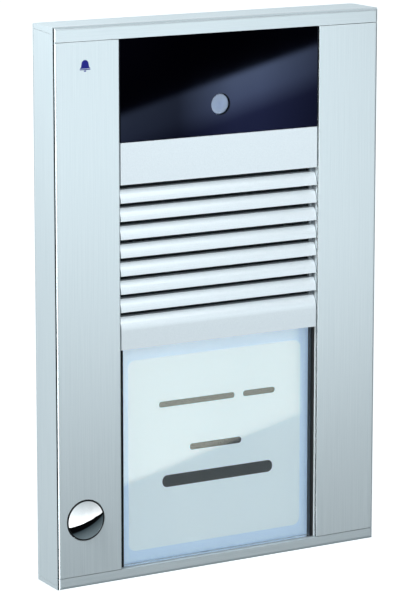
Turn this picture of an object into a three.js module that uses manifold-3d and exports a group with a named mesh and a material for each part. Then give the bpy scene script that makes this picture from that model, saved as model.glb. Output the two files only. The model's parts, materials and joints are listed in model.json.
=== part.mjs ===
// Surface-mounted door intercom panel, in millimetres.
// +X right, +Y towards the wall, +Z up. The origin is the middle of the face that lies on the wall.
// "front" values are distances that a face stands out from the wall, so a point there has y = -front.

import * as THREE from 'three';
import { mergeVertices } from 'three/addons/utils/BufferGeometryUtils.js';
import Module from 'manifold-3d';

const wasm = await Module();
wasm.setup();

// ---------------------------------------------------------------- driving dimensions

const WIDTH = 140;
const HEIGHT = 212;
const FRONT = 20;                    // front faces of the two side rails
const REAR_EDGE = 1.2;               // the housing's rear edge stands this far off the wall
const EDGE_ROUND = 1.2;              // long front edges
const INNER_ROUND = 0.7;             // front edges beside the middle column
const BACK_ROUND = 2;                // long rear edges
const WALL = 1.8;                    // wall of the rail extrusion
const FIT = 0.3;                     // running and assembly gap
const TOUCH = 0.1;                   // gap between faces that lie on each other
const SEAM = 0.25;                   // visible joint between rails and caps

const RAIL_WIDTH = 27;
const RAIL_INNER = WIDTH / 2 - RAIL_WIDTH;
const RIB_INNER = RAIL_INNER + 2.9;  // rib behind each rail that locates the middle column
const RIB_OUTER = RIB_INNER + 1;
const RIB_REAR = 15.5;
const PORT = { x: 65, front: 5.8, half: 3, bore: 1.5 };

const TOP_LIP = 5.5;                 // visible height of the caps on the front
const BOTTOM_LIP = 4.3;
const LIP_DEPTH = 1.9;
const SKIRT_FRONT = 2.6;             // the top cap's side skirt tapers towards the wall
const SKIRT_REAR = 1.5;
const BASE_THICK = 1.6;              // floor of the bottom cap

const MIDDLE_FRONT = 19.7;           // glass and grille stand just behind the rails
const MIDDLE_HALF = RAIL_INNER - FIT;
const FLANGE_HALF = RIB_INNER - FIT; // flanges of the middle column reach behind the rails

const GLASS_BOTTOM = 61.7;
const GLASS_THICK = 2;
const LENS = { z: 73.3, bore: 4.1 };

const SLOT_COUNT = 8;
const SLOT_PITCH = 6.9;
const SLOT_HEIGHT = 2.1;
const SLOT_TOP = 45.9;               // upper edge of the first slot
const LOUVRE_DEPTH = 5;
const LOUVRE_SETBACK = 2;            // each louvre's upper edge lies this far behind its lower edge
const BAR_SKIN = 2.3;

const WINDOW_TOP = -16.8;
const WINDOW_FRONT = 18.3;
const WINDOW_THICK = 3.5;
const PANE_HALF = MIDDLE_HALF - 1.3;
const GUIDE_HALF = MIDDLE_HALF - 0.7;
const LABEL = { width: 76, top: -22.2, bottom: -96.6, corner: 3, thick: 0.3 };

const BELL = { x: -58.4, z: -80.1, bore: 8, dome: 7.7, crown: 2, rim: 20.2 };

const PLATE_THICK = 1.5;
const PLATE_HALF = 64.5;
const PLATE_TOP = 96;
const PLATE_BOTTOM = -101;
const HOOK = { x: 30, width: 16, front: 4.6, rear: 3.1, top: 104 };
const CABLE_ENTRY = { z: -55, width: 32, height: 22, corner: 4 };

const TOP = HEIGHT / 2;
const BOTTOM = -HEIGHT / 2;
const GRILLE_BOTTOM = WINDOW_TOP;
const GLASS_TOP = TOP - TOP_LIP;
const LABEL_FRONT = WINDOW_FRONT - WINDOW_THICK - TOUCH;
const GUIDE_FRONT = LABEL_FRONT - LABEL.thick - TOUCH;
const GUIDE_THICK = 2;
const REFLECTOR_FRONT = GUIDE_FRONT - GUIDE_THICK - TOUCH;
const REFLECTOR_THICK = 0.8;
const BOARD_FRONT = 10.9;
const BOARD_REAR = 9.3;
const LOWER_BAY_BOTTOM = BOTTOM + BOTTOM_LIP + FIT;
const LOWER_BAY_TOP = WINDOW_TOP - FIT;

const CURVE_STEPS = 20;              // sides of a full circle
const FINE_STEPS = 32;
const EDGE_STEPS = 6;                // steps of a rounded front edge

// ---------------------------------------------------------------- finishes

const finish = (color, roughness, metalness, extra = {}) =>
  new THREE.MeshStandardMaterial({ color, roughness, metalness, ...extra });
const clear = (color) => finish(color, 0.05, 0, { transparent: true, opacity: 0.4 });

const anodised = finish('#c9d6db', 0.38, 0.9);
const satinSilver = finish('#e6edf1', 0.42, 0.6);
const zincSteel = finish('#a9afb3', 0.45, 0.9);
const screwSteel = finish('#8f969b', 0.3, 1);
const chrome = finish('#dfe5e8', 0.06, 1);
const blackGlass = finish('#05060c', 0.04, 0);
const blackPlastic = finish('#16181a', 0.55, 0);
const whitePlastic = finish('#eef3f6', 0.5, 0);
const rubber = finish('#202224', 0.85, 0);
const cloth = finish('#3c4246', 0.95, 0);
const boardGreen = finish('#1f5a3c', 0.5, 0.1);
const terminalGrey = finish('#8a9499', 0.55, 0);
const cardWhite = finish('#dbe9f0', 0.8, 0);
const paper = finish('#2a2723', 0.9, 0);
const magnetBlack = finish('#2a2c2f', 0.5, 0.4);

// ---------------------------------------------------------------- shape helpers

const point = (a, b) => new THREE.Vector2(a, b);

/** Points of a circular arc about (cx, cy), ends included, angles in degrees. */
function arc(cx, cy, radius, fromDeg, toDeg, steps = 4) {
  const points = [];
  for (let i = 0; i <= steps; i += 1) {
    const angle = THREE.MathUtils.degToRad(fromDeg + ((toDeg - fromDeg) * i) / steps);
    points.push(point(cx + radius * Math.cos(angle), cy + radius * Math.sin(angle)));
  }
  return points;
}

function roundedRect(x0, x1, z0, z1, radius) {
  return [
    ...arc(x1 - radius, z0 + radius, radius, -90, 0),
    ...arc(x1 - radius, z1 - radius, radius, 0, 90),
    ...arc(x0 + radius, z1 - radius, radius, 90, 180),
    ...arc(x0 + radius, z0 + radius, radius, 180, 270),
  ];
}

const rect = (x0, x1, z0, z1) => [point(x0, z0), point(x1, z0), point(x1, z1), point(x0, z1)];

const circle = (cx, cy, radius, steps = CURVE_STEPS) => arc(cx, cy, radius, 0, 360, steps).slice(0, steps);

/** Drops normals and texture coordinates, and shares the vertices of neighbouring faces. */
function weld(geometry) {
  geometry.deleteAttribute('normal');
  geometry.deleteAttribute('uv');
  return mergeVertices(geometry, 1e-5);
}

function extrude(outline, holes, depth) {
  const shape = new THREE.Shape(outline);
  shape.holes = holes.map((hole) => new THREE.Path(hole));
  return weld(new THREE.ExtrudeGeometry(shape, { depth, bevelEnabled: false, steps: 1 }));
}

/** Prism along Z of an outline in (x, y). */
const alongZ = (outline, z0, z1, holes = []) => extrude(outline, holes, z1 - z0).translate(0, 0, z0);

/** Prism along X of an outline in (y, z). */
function alongX(outline, x0, x1) {
  const prism = extrude(outline, [], x1 - x0);
  prism.applyMatrix4(new THREE.Matrix4().set(0, 0, 1, x0, 1, 0, 0, 0, 0, 1, 0, 0, 0, 0, 0, 1));
  return prism;
}

/** Prism of an outline in (x, z), between two distances from the wall. */
function panel(outline, front, rear, holes = []) {
  return extrude(outline, holes, front - rear).rotateX(Math.PI / 2).translate(0, -rear, 0);
}

const block = (x0, x1, front, rear, z0, z1) => panel(rect(x0, x1, z0, z1), front, rear);

/** Body turned about an axis along Y at (x, z). The profile is [radius, front] pairs, from front to rear. */
function turned(profile, x, z, steps = CURVE_STEPS) {
  const points = profile.map(([radius, front]) => point(radius, -front));
  return weld(new THREE.LatheGeometry(points, steps)).translate(x, 0, z);
}

/** Ring turned about Y: the profile closes on itself. */
const turnedRing = (profile, x, z, steps = CURVE_STEPS) => turned([...profile, profile[0]], x, z, steps);

const disc = (radius, front, rear, x, z, steps = CURVE_STEPS) =>
  turned([[0, front], [radius, front], [radius, rear], [0, rear]], x, z, steps);

/** Body turned about an axis along Z at (x, -front). The profile is [radius, z] pairs, rising. */
function turnedUpright(profile, x, front, steps = CURVE_STEPS) {
  const points = profile.map(([radius, z]) => point(radius, z));
  const body = weld(new THREE.LatheGeometry(points, steps));
  return body.rotateX(Math.PI / 2).translate(x, -front, 0);
}

const pillar = (radius, z0, z1, x, front, steps = CURVE_STEPS) =>
  turnedUpright([[0, z0], [radius, z0], [radius, z1], [0, z1]], x, front, steps);

/** Cylinder along X. */
function crossPin(radius, x0, x1, front, z, steps = 16) {
  return alongX(circle(-front, z, radius, steps), x0, x1);
}

// ---------------------------------------------------------------- booleans

function toSolid(geometry) {
  return new wasm.Manifold(new wasm.Mesh({
    numProp: 3,
    vertProperties: new Float32Array(geometry.attributes.position.array),
    triVerts: new Uint32Array(geometry.index.array),
  }));
}

function toGeometry(solid) {
  const mesh = solid.getMesh();
  const geometry = new THREE.BufferGeometry();
  geometry.setAttribute('position', new THREE.BufferAttribute(new Float32Array(mesh.vertProperties), 3));
  geometry.setIndex(new THREE.BufferAttribute(new Uint32Array(mesh.triVerts), 1));
  return geometry;
}

const combine = (first, others, step) =>
  toGeometry(others.reduce((solid, other) => step(solid, toSolid(other)), toSolid(first)));

const join = (first, ...others) => combine(first, others, (a, b) => a.add(b));
const cut = (first, ...others) => combine(first, others, (a, b) => a.subtract(b));
const overlap = (first, ...others) => combine(first, others, (a, b) => a.intersect(b));

const panelGroup = new THREE.Group();

function add(name, geometry, material) {
  const mesh = new THREE.Mesh(geometry, material);
  mesh.name = name;
  panelGroup.add(mesh);
}

// ---------------------------------------------------------------- housing shell

/** Height of the underside of the top cap's skirt, which falls towards the front. */
const skirtLine = (front) => TOP - SKIRT_REAR - ((SKIRT_FRONT - SKIRT_REAR) * front) / FRONT;

/** Cross-section of a rail for side +1 (right) or -1 (left). */
function railOutline(side) {
  const outer = WIDTH / 2;
  const inner = outer - WALL;
  const back = REAR_EDGE;
  const outline = [
    ...arc(RAIL_INNER + INNER_ROUND, -FRONT + INNER_ROUND, INNER_ROUND, 180, 270, EDGE_STEPS),
    ...arc(outer - EDGE_ROUND, -FRONT + EDGE_ROUND, EDGE_ROUND, -90, 0, EDGE_STEPS),
    ...arc(outer - BACK_ROUND, -back - BACK_ROUND, BACK_ROUND, 0, 90),
    point(PORT.x + 0.2, -back),
    point(PORT.x + 0.2, -PORT.front + PORT.half),
    point(PORT.x - PORT.half, -PORT.front + PORT.half),
    point(PORT.x - PORT.half, -PORT.front - PORT.half),
    point(inner, -PORT.front - PORT.half),
    point(inner, -FRONT + WALL),
    point(RIB_OUTER, -FRONT + WALL),
    point(RIB_OUTER, -RIB_REAR),
    point(RIB_INNER, -RIB_REAR),
    point(RIB_INNER, -FRONT + WALL),
    point(RAIL_INNER, -FRONT + WALL),
  ];
  return outline.map((p) => point(side * p.x, p.y));
}

function rail(side) {
  const bore = circle(side * PORT.x, -PORT.front, PORT.bore, 16);
  const length = alongZ(railOutline(side), BOTTOM + BASE_THICK + TOUCH, TOP, [bore]);
  const near = side * (RAIL_INNER - 1);
  const far = side * (WIDTH / 2 + 1);
  const [x0, x1] = [Math.min(near, far), Math.max(near, far)];
  const ribEdge = side * (RIB_OUTER + 1);
  const [r0, r1] = [Math.min(near, ribEdge), Math.max(near, ribEdge)];
  const lipRear = FRONT - LIP_DEPTH - TOUCH;
  const ribRear = RIB_REAR - 0.5;
  const cutters = [
    block(x0, x1, FRONT + 1, lipRear, GLASS_TOP - SEAM, TOP + 1),
    block(x0, x1, FRONT + 1, lipRear, BOTTOM - 1, BOTTOM + BOTTOM_LIP + SEAM),
    block(r0, r1, FRONT + 1, ribRear, GLASS_TOP - SEAM, TOP + 1),
    block(r0, r1, FRONT + 1, ribRear, BOTTOM - 1, BOTTOM + BOTTOM_LIP + SEAM),
    alongX([
      point(-FRONT - 1, skirtLine(FRONT + 1) - TOUCH),
      point(0, skirtLine(0) - TOUCH),
      point(0, TOP + 1),
      point(-FRONT - 1, TOP + 1),
    ], x0, x1),
  ];
  if (side < 0) {
    cutters.push(disc(BELL.bore, FRONT + 1, FRONT - WALL - 1, BELL.x, BELL.z, FINE_STEPS));
  }
  return cut(length, ...cutters);
}

/** Outline of the housing in (x, y), which both caps share. */
function housingOutline() {
  const outer = WIDTH / 2;
  const back = -REAR_EDGE - BACK_ROUND;
  return [
    ...arc(-outer + EDGE_ROUND, -FRONT + EDGE_ROUND, EDGE_ROUND, 180, 270, EDGE_STEPS),
    ...arc(outer - EDGE_ROUND, -FRONT + EDGE_ROUND, EDGE_ROUND, 270, 360, EDGE_STEPS),
    ...arc(outer - BACK_ROUND, back, BACK_ROUND, 0, 90),
    ...arc(-outer + BACK_ROUND, back, BACK_ROUND, 90, 180),
  ];
}

function topCap() {
  const lipRear = -FRONT + LIP_DEPTH;
  const section = alongX([
    point(0, TOP),
    ...arc(-FRONT + EDGE_ROUND, TOP - EDGE_ROUND, EDGE_ROUND, 90, 180, EDGE_STEPS),
    point(-FRONT, GLASS_TOP),
    point(lipRear, GLASS_TOP),
    point(lipRear, skirtLine(-lipRear)),
    point(0, skirtLine(0)),
  ], -WIDTH, WIDTH);
  const shell = overlap(section, alongZ(housingOutline(), GLASS_TOP - 1, TOP + 1));
  const pegs = [-1, 1].map((side) =>
    pillar(PORT.bore - FIT, TOP - 12, TOP - 1, side * PORT.x, PORT.front, 16));
  const hookRibs = [-1, 1].map((side) => block(
    side * HOOK.x - 10, side * HOOK.x + 10,
    REAR_EDGE + 1, REAR_EDGE, HOOK.top - 1.4, TOP - 1,
  ));
  return join(shell, ...pegs, ...hookRibs);
}

const LOCK = { front: 6, shank: 1.5, head: 2.9 };
const CAP_SCREW = { shank: 1.15, head: 2.6 };

/** Countersunk screw standing on its head, which is flush with the underside of the bottom cap. */
function upwardScrew(screw, x, front, tip) {
  const face = BOTTOM + TOUCH;
  const slope = screw.head - screw.shank;
  const body = turnedUpright([
    [0, face],
    [screw.head, face],
    [screw.shank, face + slope],
    [screw.shank, tip],
    [0, tip],
  ], x, front, 16);
  const drive = block(x - 1.6, x + 1.6, front + 0.35, front - 0.35, face - 1, face + 0.9);
  return cut(body, drive);
}

/** Countersunk hole for such a screw. */
function countersink(screw, x, front) {
  const bore = screw.shank + FIT;
  const mouth = screw.head + FIT;
  return turnedUpright([
    [0, BOTTOM - 1],
    [mouth, BOTTOM - 1],
    [mouth, BOTTOM + TOUCH],
    [bore, BOTTOM + TOUCH + mouth - bore],
    [bore, BOTTOM + 8],
    [0, BOTTOM + 8],
  ], x, front, 16);
}

function bottomCap() {
  const lipRear = -FRONT + LIP_DEPTH;
  const floor = BOTTOM + BASE_THICK;
  const section = alongX([
    ...arc(-FRONT + EDGE_ROUND, BOTTOM + EDGE_ROUND, EDGE_ROUND, 180, 270, EDGE_STEPS),
    point(0, BOTTOM),
    point(0, floor),
    point(lipRear, floor),
    point(lipRear, BOTTOM + BOTTOM_LIP),
    point(-FRONT, BOTTOM + BOTTOM_LIP),
  ], -WIDTH, WIDTH);
  const shell = overlap(section, alongZ(housingOutline(), BOTTOM - 1, BOTTOM + BOTTOM_LIP + 1));
  const weepSlots = [-1, 1].map((side) => alongZ(
    rect(side * 35 - 5, side * 35 + 5, -9, -7.4), BOTTOM - 1, floor + 1,
  ));
  return cut(
    shell,
    ...weepSlots,
    countersink(LOCK, 0, LOCK.front),
    ...[-1, 1].map((side) => countersink(CAP_SCREW, side * PORT.x, PORT.front)),
  );
}

add('left_rail', rail(-1), anodised);
add('right_rail', rail(1), anodised);
add('top_cap', topCap(), anodised);
add('bottom_cap', bottomCap(), anodised);
add('cap_screw_left', upwardScrew(CAP_SCREW, -PORT.x, PORT.front, BOTTOM + 13), screwSteel);
add('cap_screw_right', upwardScrew(CAP_SCREW, PORT.x, PORT.front, BOTTOM + 13), screwSteel);
add('lock_screw', upwardScrew(LOCK, 0, LOCK.front, PLATE_BOTTOM - FIT), screwSteel);

// ---------------------------------------------------------------- wall plate

const SCREW_SLOTS = [[-45, 82], [45, 82], [-45, -84], [45, -84], [-30, 0], [30, 0]];

/** Slot for a 4.5 mm wall screw, 5 wide and 11 long. */
const screwSlot = ([x, z]) => [
  ...arc(x + 3, z, 2.5, -90, 90, 6),
  ...arc(x - 3, z, 2.5, 90, 270, 6),
];

const cableHole = (margin) => roundedRect(
  -CABLE_ENTRY.width / 2 + margin,
  CABLE_ENTRY.width / 2 - margin,
  CABLE_ENTRY.z - CABLE_ENTRY.height / 2 + margin,
  CABLE_ENTRY.z + CABLE_ENTRY.height / 2 - margin,
  CABLE_ENTRY.corner - Math.max(margin, 0) / 2,
);

function wallPlate() {
  const sheet = panel(
    roundedRect(-PLATE_HALF, PLATE_HALF, PLATE_BOTTOM, PLATE_TOP, 3),
    PLATE_THICK, 0,
    [...SCREW_SLOTS.map(screwSlot), cableHole(0)],
  );
  const hooks = [-1, 1].map((side) => alongX([
    point(-PLATE_THICK / 2, PLATE_TOP - 3.4),
    point(-PLATE_THICK / 2, PLATE_TOP - 0.8),
    point(-HOOK.rear, PLATE_TOP + 1.5),
    point(-HOOK.rear, HOOK.top - TOUCH),
    point(-HOOK.front, HOOK.top - TOUCH),
    point(-HOOK.front, PLATE_TOP + 0.8),
  ], side * HOOK.x - HOOK.width / 2, side * HOOK.x + HOOK.width / 2));
  const lockFlange = block(-12, 12, 9, PLATE_THICK / 2, PLATE_BOTTOM, PLATE_BOTTOM + PLATE_THICK);
  return join(sheet, ...hooks, lockFlange);
}

/** Rubber edging of the cable entry: a collar through the plate and a flange on its front. */
function cableGrommet() {
  const collar = panel(cableHole(FIT), PLATE_THICK + 0.5, 0.2, [cableHole(2)]);
  const flange = panel(cableHole(-2), PLATE_THICK + TOUCH + 1.2, PLATE_THICK + TOUCH, [cableHole(2)]);
  return join(collar, flange);
}

add('wall_plate', wallPlate(), zincSteel);
add('cable_grommet', cableGrommet(), rubber);

// ---------------------------------------------------------------- camera bay

const CAMERA = { front: 11, body: 6.5, yoke: 9.6, yokeInner: 7.8, pin: 1 };
const BAY_BOTTOM = GLASS_BOTTOM + 0.2;
const BAY_TOP = GLASS_TOP - 0.3;
const CARRIER_FRONT = MIDDLE_FRONT - GLASS_THICK - TOUCH;
const CARRIER_REAR = CARRIER_FRONT - 2;

function cameraGlass() {
  return panel(
    rect(-MIDDLE_HALF, MIDDLE_HALF, GLASS_BOTTOM + TOUCH, GLASS_TOP - TOUCH),
    MIDDLE_FRONT, MIDDLE_FRONT - GLASS_THICK,
    [circle(0, LENS.z, LENS.bore, FINE_STEPS)],
  );
}

/** Clear stepped disc that closes the hole in the glass. */
function lensWindow() {
  return turned([
    [0, 19],
    [LENS.bore - 0.15, 19],
    [LENS.bore - 0.15, CARRIER_FRONT],
    [5.4, CARRIER_FRONT],
    [5.4, CARRIER_FRONT - 1],
    [0, CARRIER_FRONT - 1],
  ], 0, LENS.z, FINE_STEPS);
}

/** Black plate behind the glass, counterbored for the lens window. */
function cameraCarrier() {
  const plate = panel(
    rect(-FLANGE_HALF, FLANGE_HALF, BAY_BOTTOM, BAY_TOP),
    CARRIER_FRONT, CARRIER_REAR,
    [circle(0, LENS.z, 4.8)],
  );
  return cut(plate, disc(5.7, CARRIER_FRONT + 1, CARRIER_FRONT - 1.1, 0, LENS.z));
}

/** Fixed bracket with an arm above and below the yoke, open to the left. */
function cameraBracket() {
  const front = CARRIER_REAR - TOUCH;
  const rear = 8;
  const arms = [10, -12].map((z) => block(-6, 12, front, rear, LENS.z + z, LENS.z + z + 2));
  const spine = block(10.2, 12, front, rear, LENS.z - 12, LENS.z + 12);
  const bore = pillar(CAMERA.pin + FIT, LENS.z - 14, LENS.z + 14, 0, CAMERA.front, 16);
  return cut(join(spine, ...arms), bore);
}

/** Square ring that turns in the bracket on two upright pins and carries the camera's cross pins. */
function cameraYoke() {
  const { front, yoke, yokeInner, pin } = CAMERA;
  const ring = panel(
    rect(-yoke, yoke, LENS.z - yoke, LENS.z + yoke),
    front + 1.5, front - 1.5,
    [rect(-yokeInner, yokeInner, LENS.z - yokeInner, LENS.z + yokeInner).reverse()],
  );
  const bored = cut(ring, crossPin(pin + FIT, -yoke - 1, yoke + 1, front, LENS.z));
  const pins = [
    pillar(pin, LENS.z + yokeInner + 0.5, LENS.z + 11.6, 0, front, 16),
    pillar(pin, LENS.z - 11.6, LENS.z - yokeInner - 0.5, 0, front, 16),
  ];
  return join(bored, ...pins);
}

function cameraBody() {
  const { body, front, pin, yoke } = CAMERA;
  const cube = block(-body, body, front + 2, front - 4, LENS.z - body, LENS.z + body);
  return join(cube, crossPin(pin, -yoke + 0.4, yoke - 0.4, front, LENS.z));
}

function lensBarrel() {
  return turnedRing([
    [2.7, 15.4],
    [3.6, 15.4],
    [3.6, 14.4],
    [3.2, 14.4],
    [3.2, CAMERA.front + 2.1],
    [2.7, CAMERA.front + 2.1],
  ], 0, LENS.z);
}

function lensElement() {
  const front = 15.1;
  const sag = 0.7;
  const radius = 2.5;
  const sphere = (radius * radius + sag * sag) / (2 * sag);
  const profile = [];
  for (let i = 0; i <= 4; i += 1) {
    const r = (radius * i) / 4;
    profile.push([r, front - sphere + Math.sqrt(sphere * sphere - r * r)]);
  }
  return turned([...profile, [radius, 13.4], [0, 13.4]], 0, LENS.z);
}

const SENSOR = { half: 7.5, front: CAMERA.front - 4.1, thick: 1.1 };

add('camera_glass', cameraGlass(), blackGlass);
add('lens_window', lensWindow(), clear('#c9d8ee'));
add('camera_carrier', cameraCarrier(), blackPlastic);
add('camera_bracket', cameraBracket(), blackPlastic);
add('camera_yoke', cameraYoke(), blackPlastic);
add('camera_body', cameraBody(), blackPlastic);
add('lens_barrel', lensBarrel(), blackPlastic);
add('lens_element', lensElement(), finish('#9aaed0', 0.05, 0));
add('sensor_board', block(
  -SENSOR.half, SENSOR.half,
  SENSOR.front, SENSOR.front - SENSOR.thick,
  LENS.z - SENSOR.half, LENS.z + SENSOR.half,
), boardGreen);
add('camera_plug', block(
  -4, 4,
  SENSOR.front - SENSOR.thick - TOUCH, SENSOR.front - SENSOR.thick - 2.4,
  LENS.z - 4, LENS.z,
), whitePlastic);

// ---------------------------------------------------------------- louvre grille

/** Face of a louvre in (y, z): upright at its lower edge, leaning back to its upper edge. */
function louvreFace(lower) {
  const rise = SLOT_PITCH - SLOT_HEIGHT;
  const radius = (rise * rise + LOUVRE_SETBACK * LOUVRE_SETBACK) / (2 * LOUVRE_SETBACK);
  const sweep = THREE.MathUtils.radToDeg(Math.asin(rise / radius));
  return arc(-MIDDLE_FRONT + radius, lower, radius, 180, 180 - sweep, 6);
}

function louvre(lower) {
  const rear = -MIDDLE_FRONT + LOUVRE_DEPTH;
  const upper = lower + SLOT_PITCH - SLOT_HEIGHT;
  return alongX([...louvreFace(lower), point(rear, upper), point(rear, lower)], -MIDDLE_HALF, MIDDLE_HALF);
}

const SPEAKER = { z: SLOT_TOP - 3.5 * SLOT_PITCH - SLOT_HEIGHT / 2, radius: 26, clampX: 33 };

function louvreGrille() {
  const rear = -MIDDLE_FRONT + LOUVRE_DEPTH;
  const skin = -MIDDLE_FRONT + BAR_SKIN;
  const top = GLASS_BOTTOM - TOUCH;
  const lastSlot = SLOT_TOP - (SLOT_COUNT - 1) * SLOT_PITCH;
  const upperBar = alongX([
    point(-MIDDLE_FRONT, SLOT_TOP),
    point(rear, SLOT_TOP),
    point(rear, SLOT_TOP + 2.7),
    point(skin, SLOT_TOP + 2.7),
    point(skin, top),
    point(-MIDDLE_FRONT, top),
  ], -MIDDLE_HALF, MIDDLE_HALF);
  const lowerBar = alongX([
    point(-MIDDLE_FRONT, GRILLE_BOTTOM),
    ...louvreFace(lastSlot - SLOT_PITCH),
    point(rear, lastSlot - SLOT_HEIGHT),
    point(rear, lastSlot - SLOT_HEIGHT - 4.4),
    point(skin, lastSlot - SLOT_HEIGHT - 4.4),
    point(skin, GRILLE_BOTTOM),
  ], -MIDDLE_HALF, MIDDLE_HALF);
  const louvres = [];
  for (let slot = 1; slot < SLOT_COUNT; slot += 1) {
    louvres.push(louvre(SLOT_TOP - slot * SLOT_PITCH));
  }
  const flangeFront = MIDDLE_FRONT - LOUVRE_SETBACK - 0.2;
  const flangeInner = RAIL_INNER + 0.2;
  const webFront = flangeFront - 1.8;
  const webInner = MIDDLE_HALF - 0.7;
  const posts = [
    block(-FLANGE_HALF, -flangeInner, flangeFront, -rear, GRILLE_BOTTOM, top),
    block(-FLANGE_HALF, -webInner, webFront, -rear, GRILLE_BOTTOM, top),
    block(webInner, FLANGE_HALF, webFront, -rear, GRILLE_BOTTOM, top),
    block(flangeInner, FLANGE_HALF, flangeFront, -rear, GRILLE_BOTTOM, top),
  ];
  const bosses = [-1, 1].map((side) => disc(2.4, -rear + 0.5, 12.6, side * SPEAKER.clampX, SPEAKER.z, 16));
  const pilots = [-1, 1].map((side) => disc(1.2, -rear - 0.1, 12, side * SPEAKER.clampX, SPEAKER.z, 12));
  return cut(join(upperBar, lowerBar, ...louvres, ...posts, ...bosses), ...pilots);
}

const CLOTH_FRONT = MIDDLE_FRONT - LOUVRE_DEPTH - TOUCH;

add('louvre_grille', louvreGrille(), satinSilver);
add('acoustic_cloth', panel(
  rect(-42, 42, SLOT_TOP - SLOT_COUNT * SLOT_PITCH, SLOT_TOP + 2.5),
  CLOTH_FRONT, CLOTH_FRONT - 0.4,
  [-1, 1].map((side) => circle(side * SPEAKER.clampX, SPEAKER.z, 2.7, 16)),
), cloth);

// ---------------------------------------------------------------- speaker and microphone

function speakerBasket() {
  return turnedRing([
    [22.6, 13.6],
    [SPEAKER.radius, 13.6],
    [SPEAKER.radius, 12.7],
    [23.4, 12.7],
    [13, 7.4],
    [7.8, 7.4],
    [7.8, 8.2],
    [12.6, 8.2],
    [22.6, 13.2],
  ], 0, SPEAKER.z, FINE_STEPS);
}

/** Half-round rubber roll between the cone and the basket. */
function speakerSurround() {
  const middle = 21.3;
  const base = 13.1;
  const outer = arc(middle, base, 0.9, 180, 0, 4);
  const inner = arc(middle, base, 0.6, 0, 180, 4);
  return turnedRing([...outer, ...inner].map((p) => [p.x, p.y]), 0, SPEAKER.z, FINE_STEPS);
}

/** Paper cone with its dust cap in one skin. */
function speakerCone() {
  const rim = 20.1;
  const neck = 7;
  const front = arc(0, 5.2, 6, 90, 32, 4).map((p) => [p.x, p.y]);
  return turned([
    ...front,
    [neck, 8.7],
    [rim, 12.9],
    [rim, 12.3],
    [neck, 8.1],
    [6.4, 7.6],
    [0, 7.6],
  ], 0, SPEAKER.z, FINE_STEPS);
}

/** Clamp that holds the basket's rim against the grille, seen from behind as a small tab. */
function speakerClamp(side) {
  const inner = side * 24.6;
  const outer = side * 37;
  return panel(
    rect(Math.min(inner, outer), Math.max(inner, outer), SPEAKER.z - 4, SPEAKER.z + 4),
    12.5, 11.3,
    [circle(side * SPEAKER.clampX, SPEAKER.z, 1.25, 12)],
  );
}

/** Pan-head screw driven from behind, towards the front. */
function rearScrew(x, z, headFront, headRadius, shankRadius, tipFront) {
  const headRear = headFront - 1.3;
  const body = turned([
    [0, tipFront],
    [shankRadius, tipFront],
    [shankRadius, headFront],
    [headRadius, headFront],
    [headRadius, headRear + 0.5],
    [headRadius - 0.5, headRear],
    [0, headRear],
  ], x, z, 14);
  const half = headRadius * 0.6;
  return cut(
    body,
    block(x - half, x + half, headRear + 0.7, headRear - 1, z - 0.25, z + 0.25),
    block(x - 0.25, x + 0.25, headRear + 0.7, headRear - 1, z - half, z + half),
  );
}

const MIC = { x: 33, z: SLOT_TOP - 7 * SLOT_PITCH - SLOT_HEIGHT / 2 };

add('speaker_gasket', turnedRing([
  [22.8, CLOTH_FRONT - 0.5],
  [SPEAKER.radius, CLOTH_FRONT - 0.5],
  [SPEAKER.radius, 13.7],
  [22.8, 13.7],
], 0, SPEAKER.z, FINE_STEPS), rubber);
add('speaker_basket', speakerBasket(), magnetBlack);
add('speaker_cone', speakerCone(), paper);
add('speaker_surround', speakerSurround(), rubber);
add('speaker_magnet', turned([
  [0, 7.2],
  [14, 7.2],
  [14, 3.4],
  [13.6, 3],
  [0, 3],
], 0, SPEAKER.z, FINE_STEPS), magnetBlack);
for (const [side, word] of [[-1, 'left'], [1, 'right']]) {
  add(`speaker_clamp_${word}`, speakerClamp(side), zincSteel);
  add(`speaker_screw_${word}`, rearScrew(side * SPEAKER.clampX, SPEAKER.z, 11.2, 2.3, 0.9, 14.2), screwSteel);
}
add('microphone', disc(3.1, 13.7, 11.6, MIC.x, MIC.z), anodised);
add('microphone_boot', turnedRing([
  [3.4, CLOTH_FRONT - 0.5],
  [4.5, CLOTH_FRONT - 0.5],
  [4.5, BOARD_FRONT + TOUCH],
  [2, BOARD_FRONT + TOUCH],
  [2, 11.3],
  [3.4, 11.3],
], MIC.x, MIC.z), rubber);

// ---------------------------------------------------------------- name window and its light

const TONGUE = { x: 26, half: 6, front: 17, rear: 15.2, rise: 2.8 };

/** Thick clear cover, hooked behind the lower bar of the grille by two tongues. */
function nameWindow() {
  const rear = WINDOW_FRONT - WINDOW_THICK;
  const pane = block(-PANE_HALF, PANE_HALF, WINDOW_FRONT, rear, LOWER_BAY_BOTTOM, LOWER_BAY_TOP);
  const tongues = [-1, 1].map((side) => block(
    side * TONGUE.x - TONGUE.half, side * TONGUE.x + TONGUE.half,
    TONGUE.front, TONGUE.rear, LOWER_BAY_TOP - 1, LOWER_BAY_TOP + TONGUE.rise,
  ));
  return join(pane, ...tongues);
}

const LED_SPOTS = [[-22, -41], [22, -41], [-22, -79], [22, -79]];

/** White reflector with a round hole for each light. */
function reflector() {
  return panel(
    rect(-GUIDE_HALF, GUIDE_HALF, LOWER_BAY_BOTTOM, LOWER_BAY_TOP - FIT),
    REFLECTOR_FRONT, REFLECTOR_FRONT - REFLECTOR_THICK,
    LED_SPOTS.map(([x, z]) => circle(x, z, 2.6, 16)),
  );
}

const BOARD_SCREW = { x: 45.1, zs: [-92, -28] };

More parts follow.
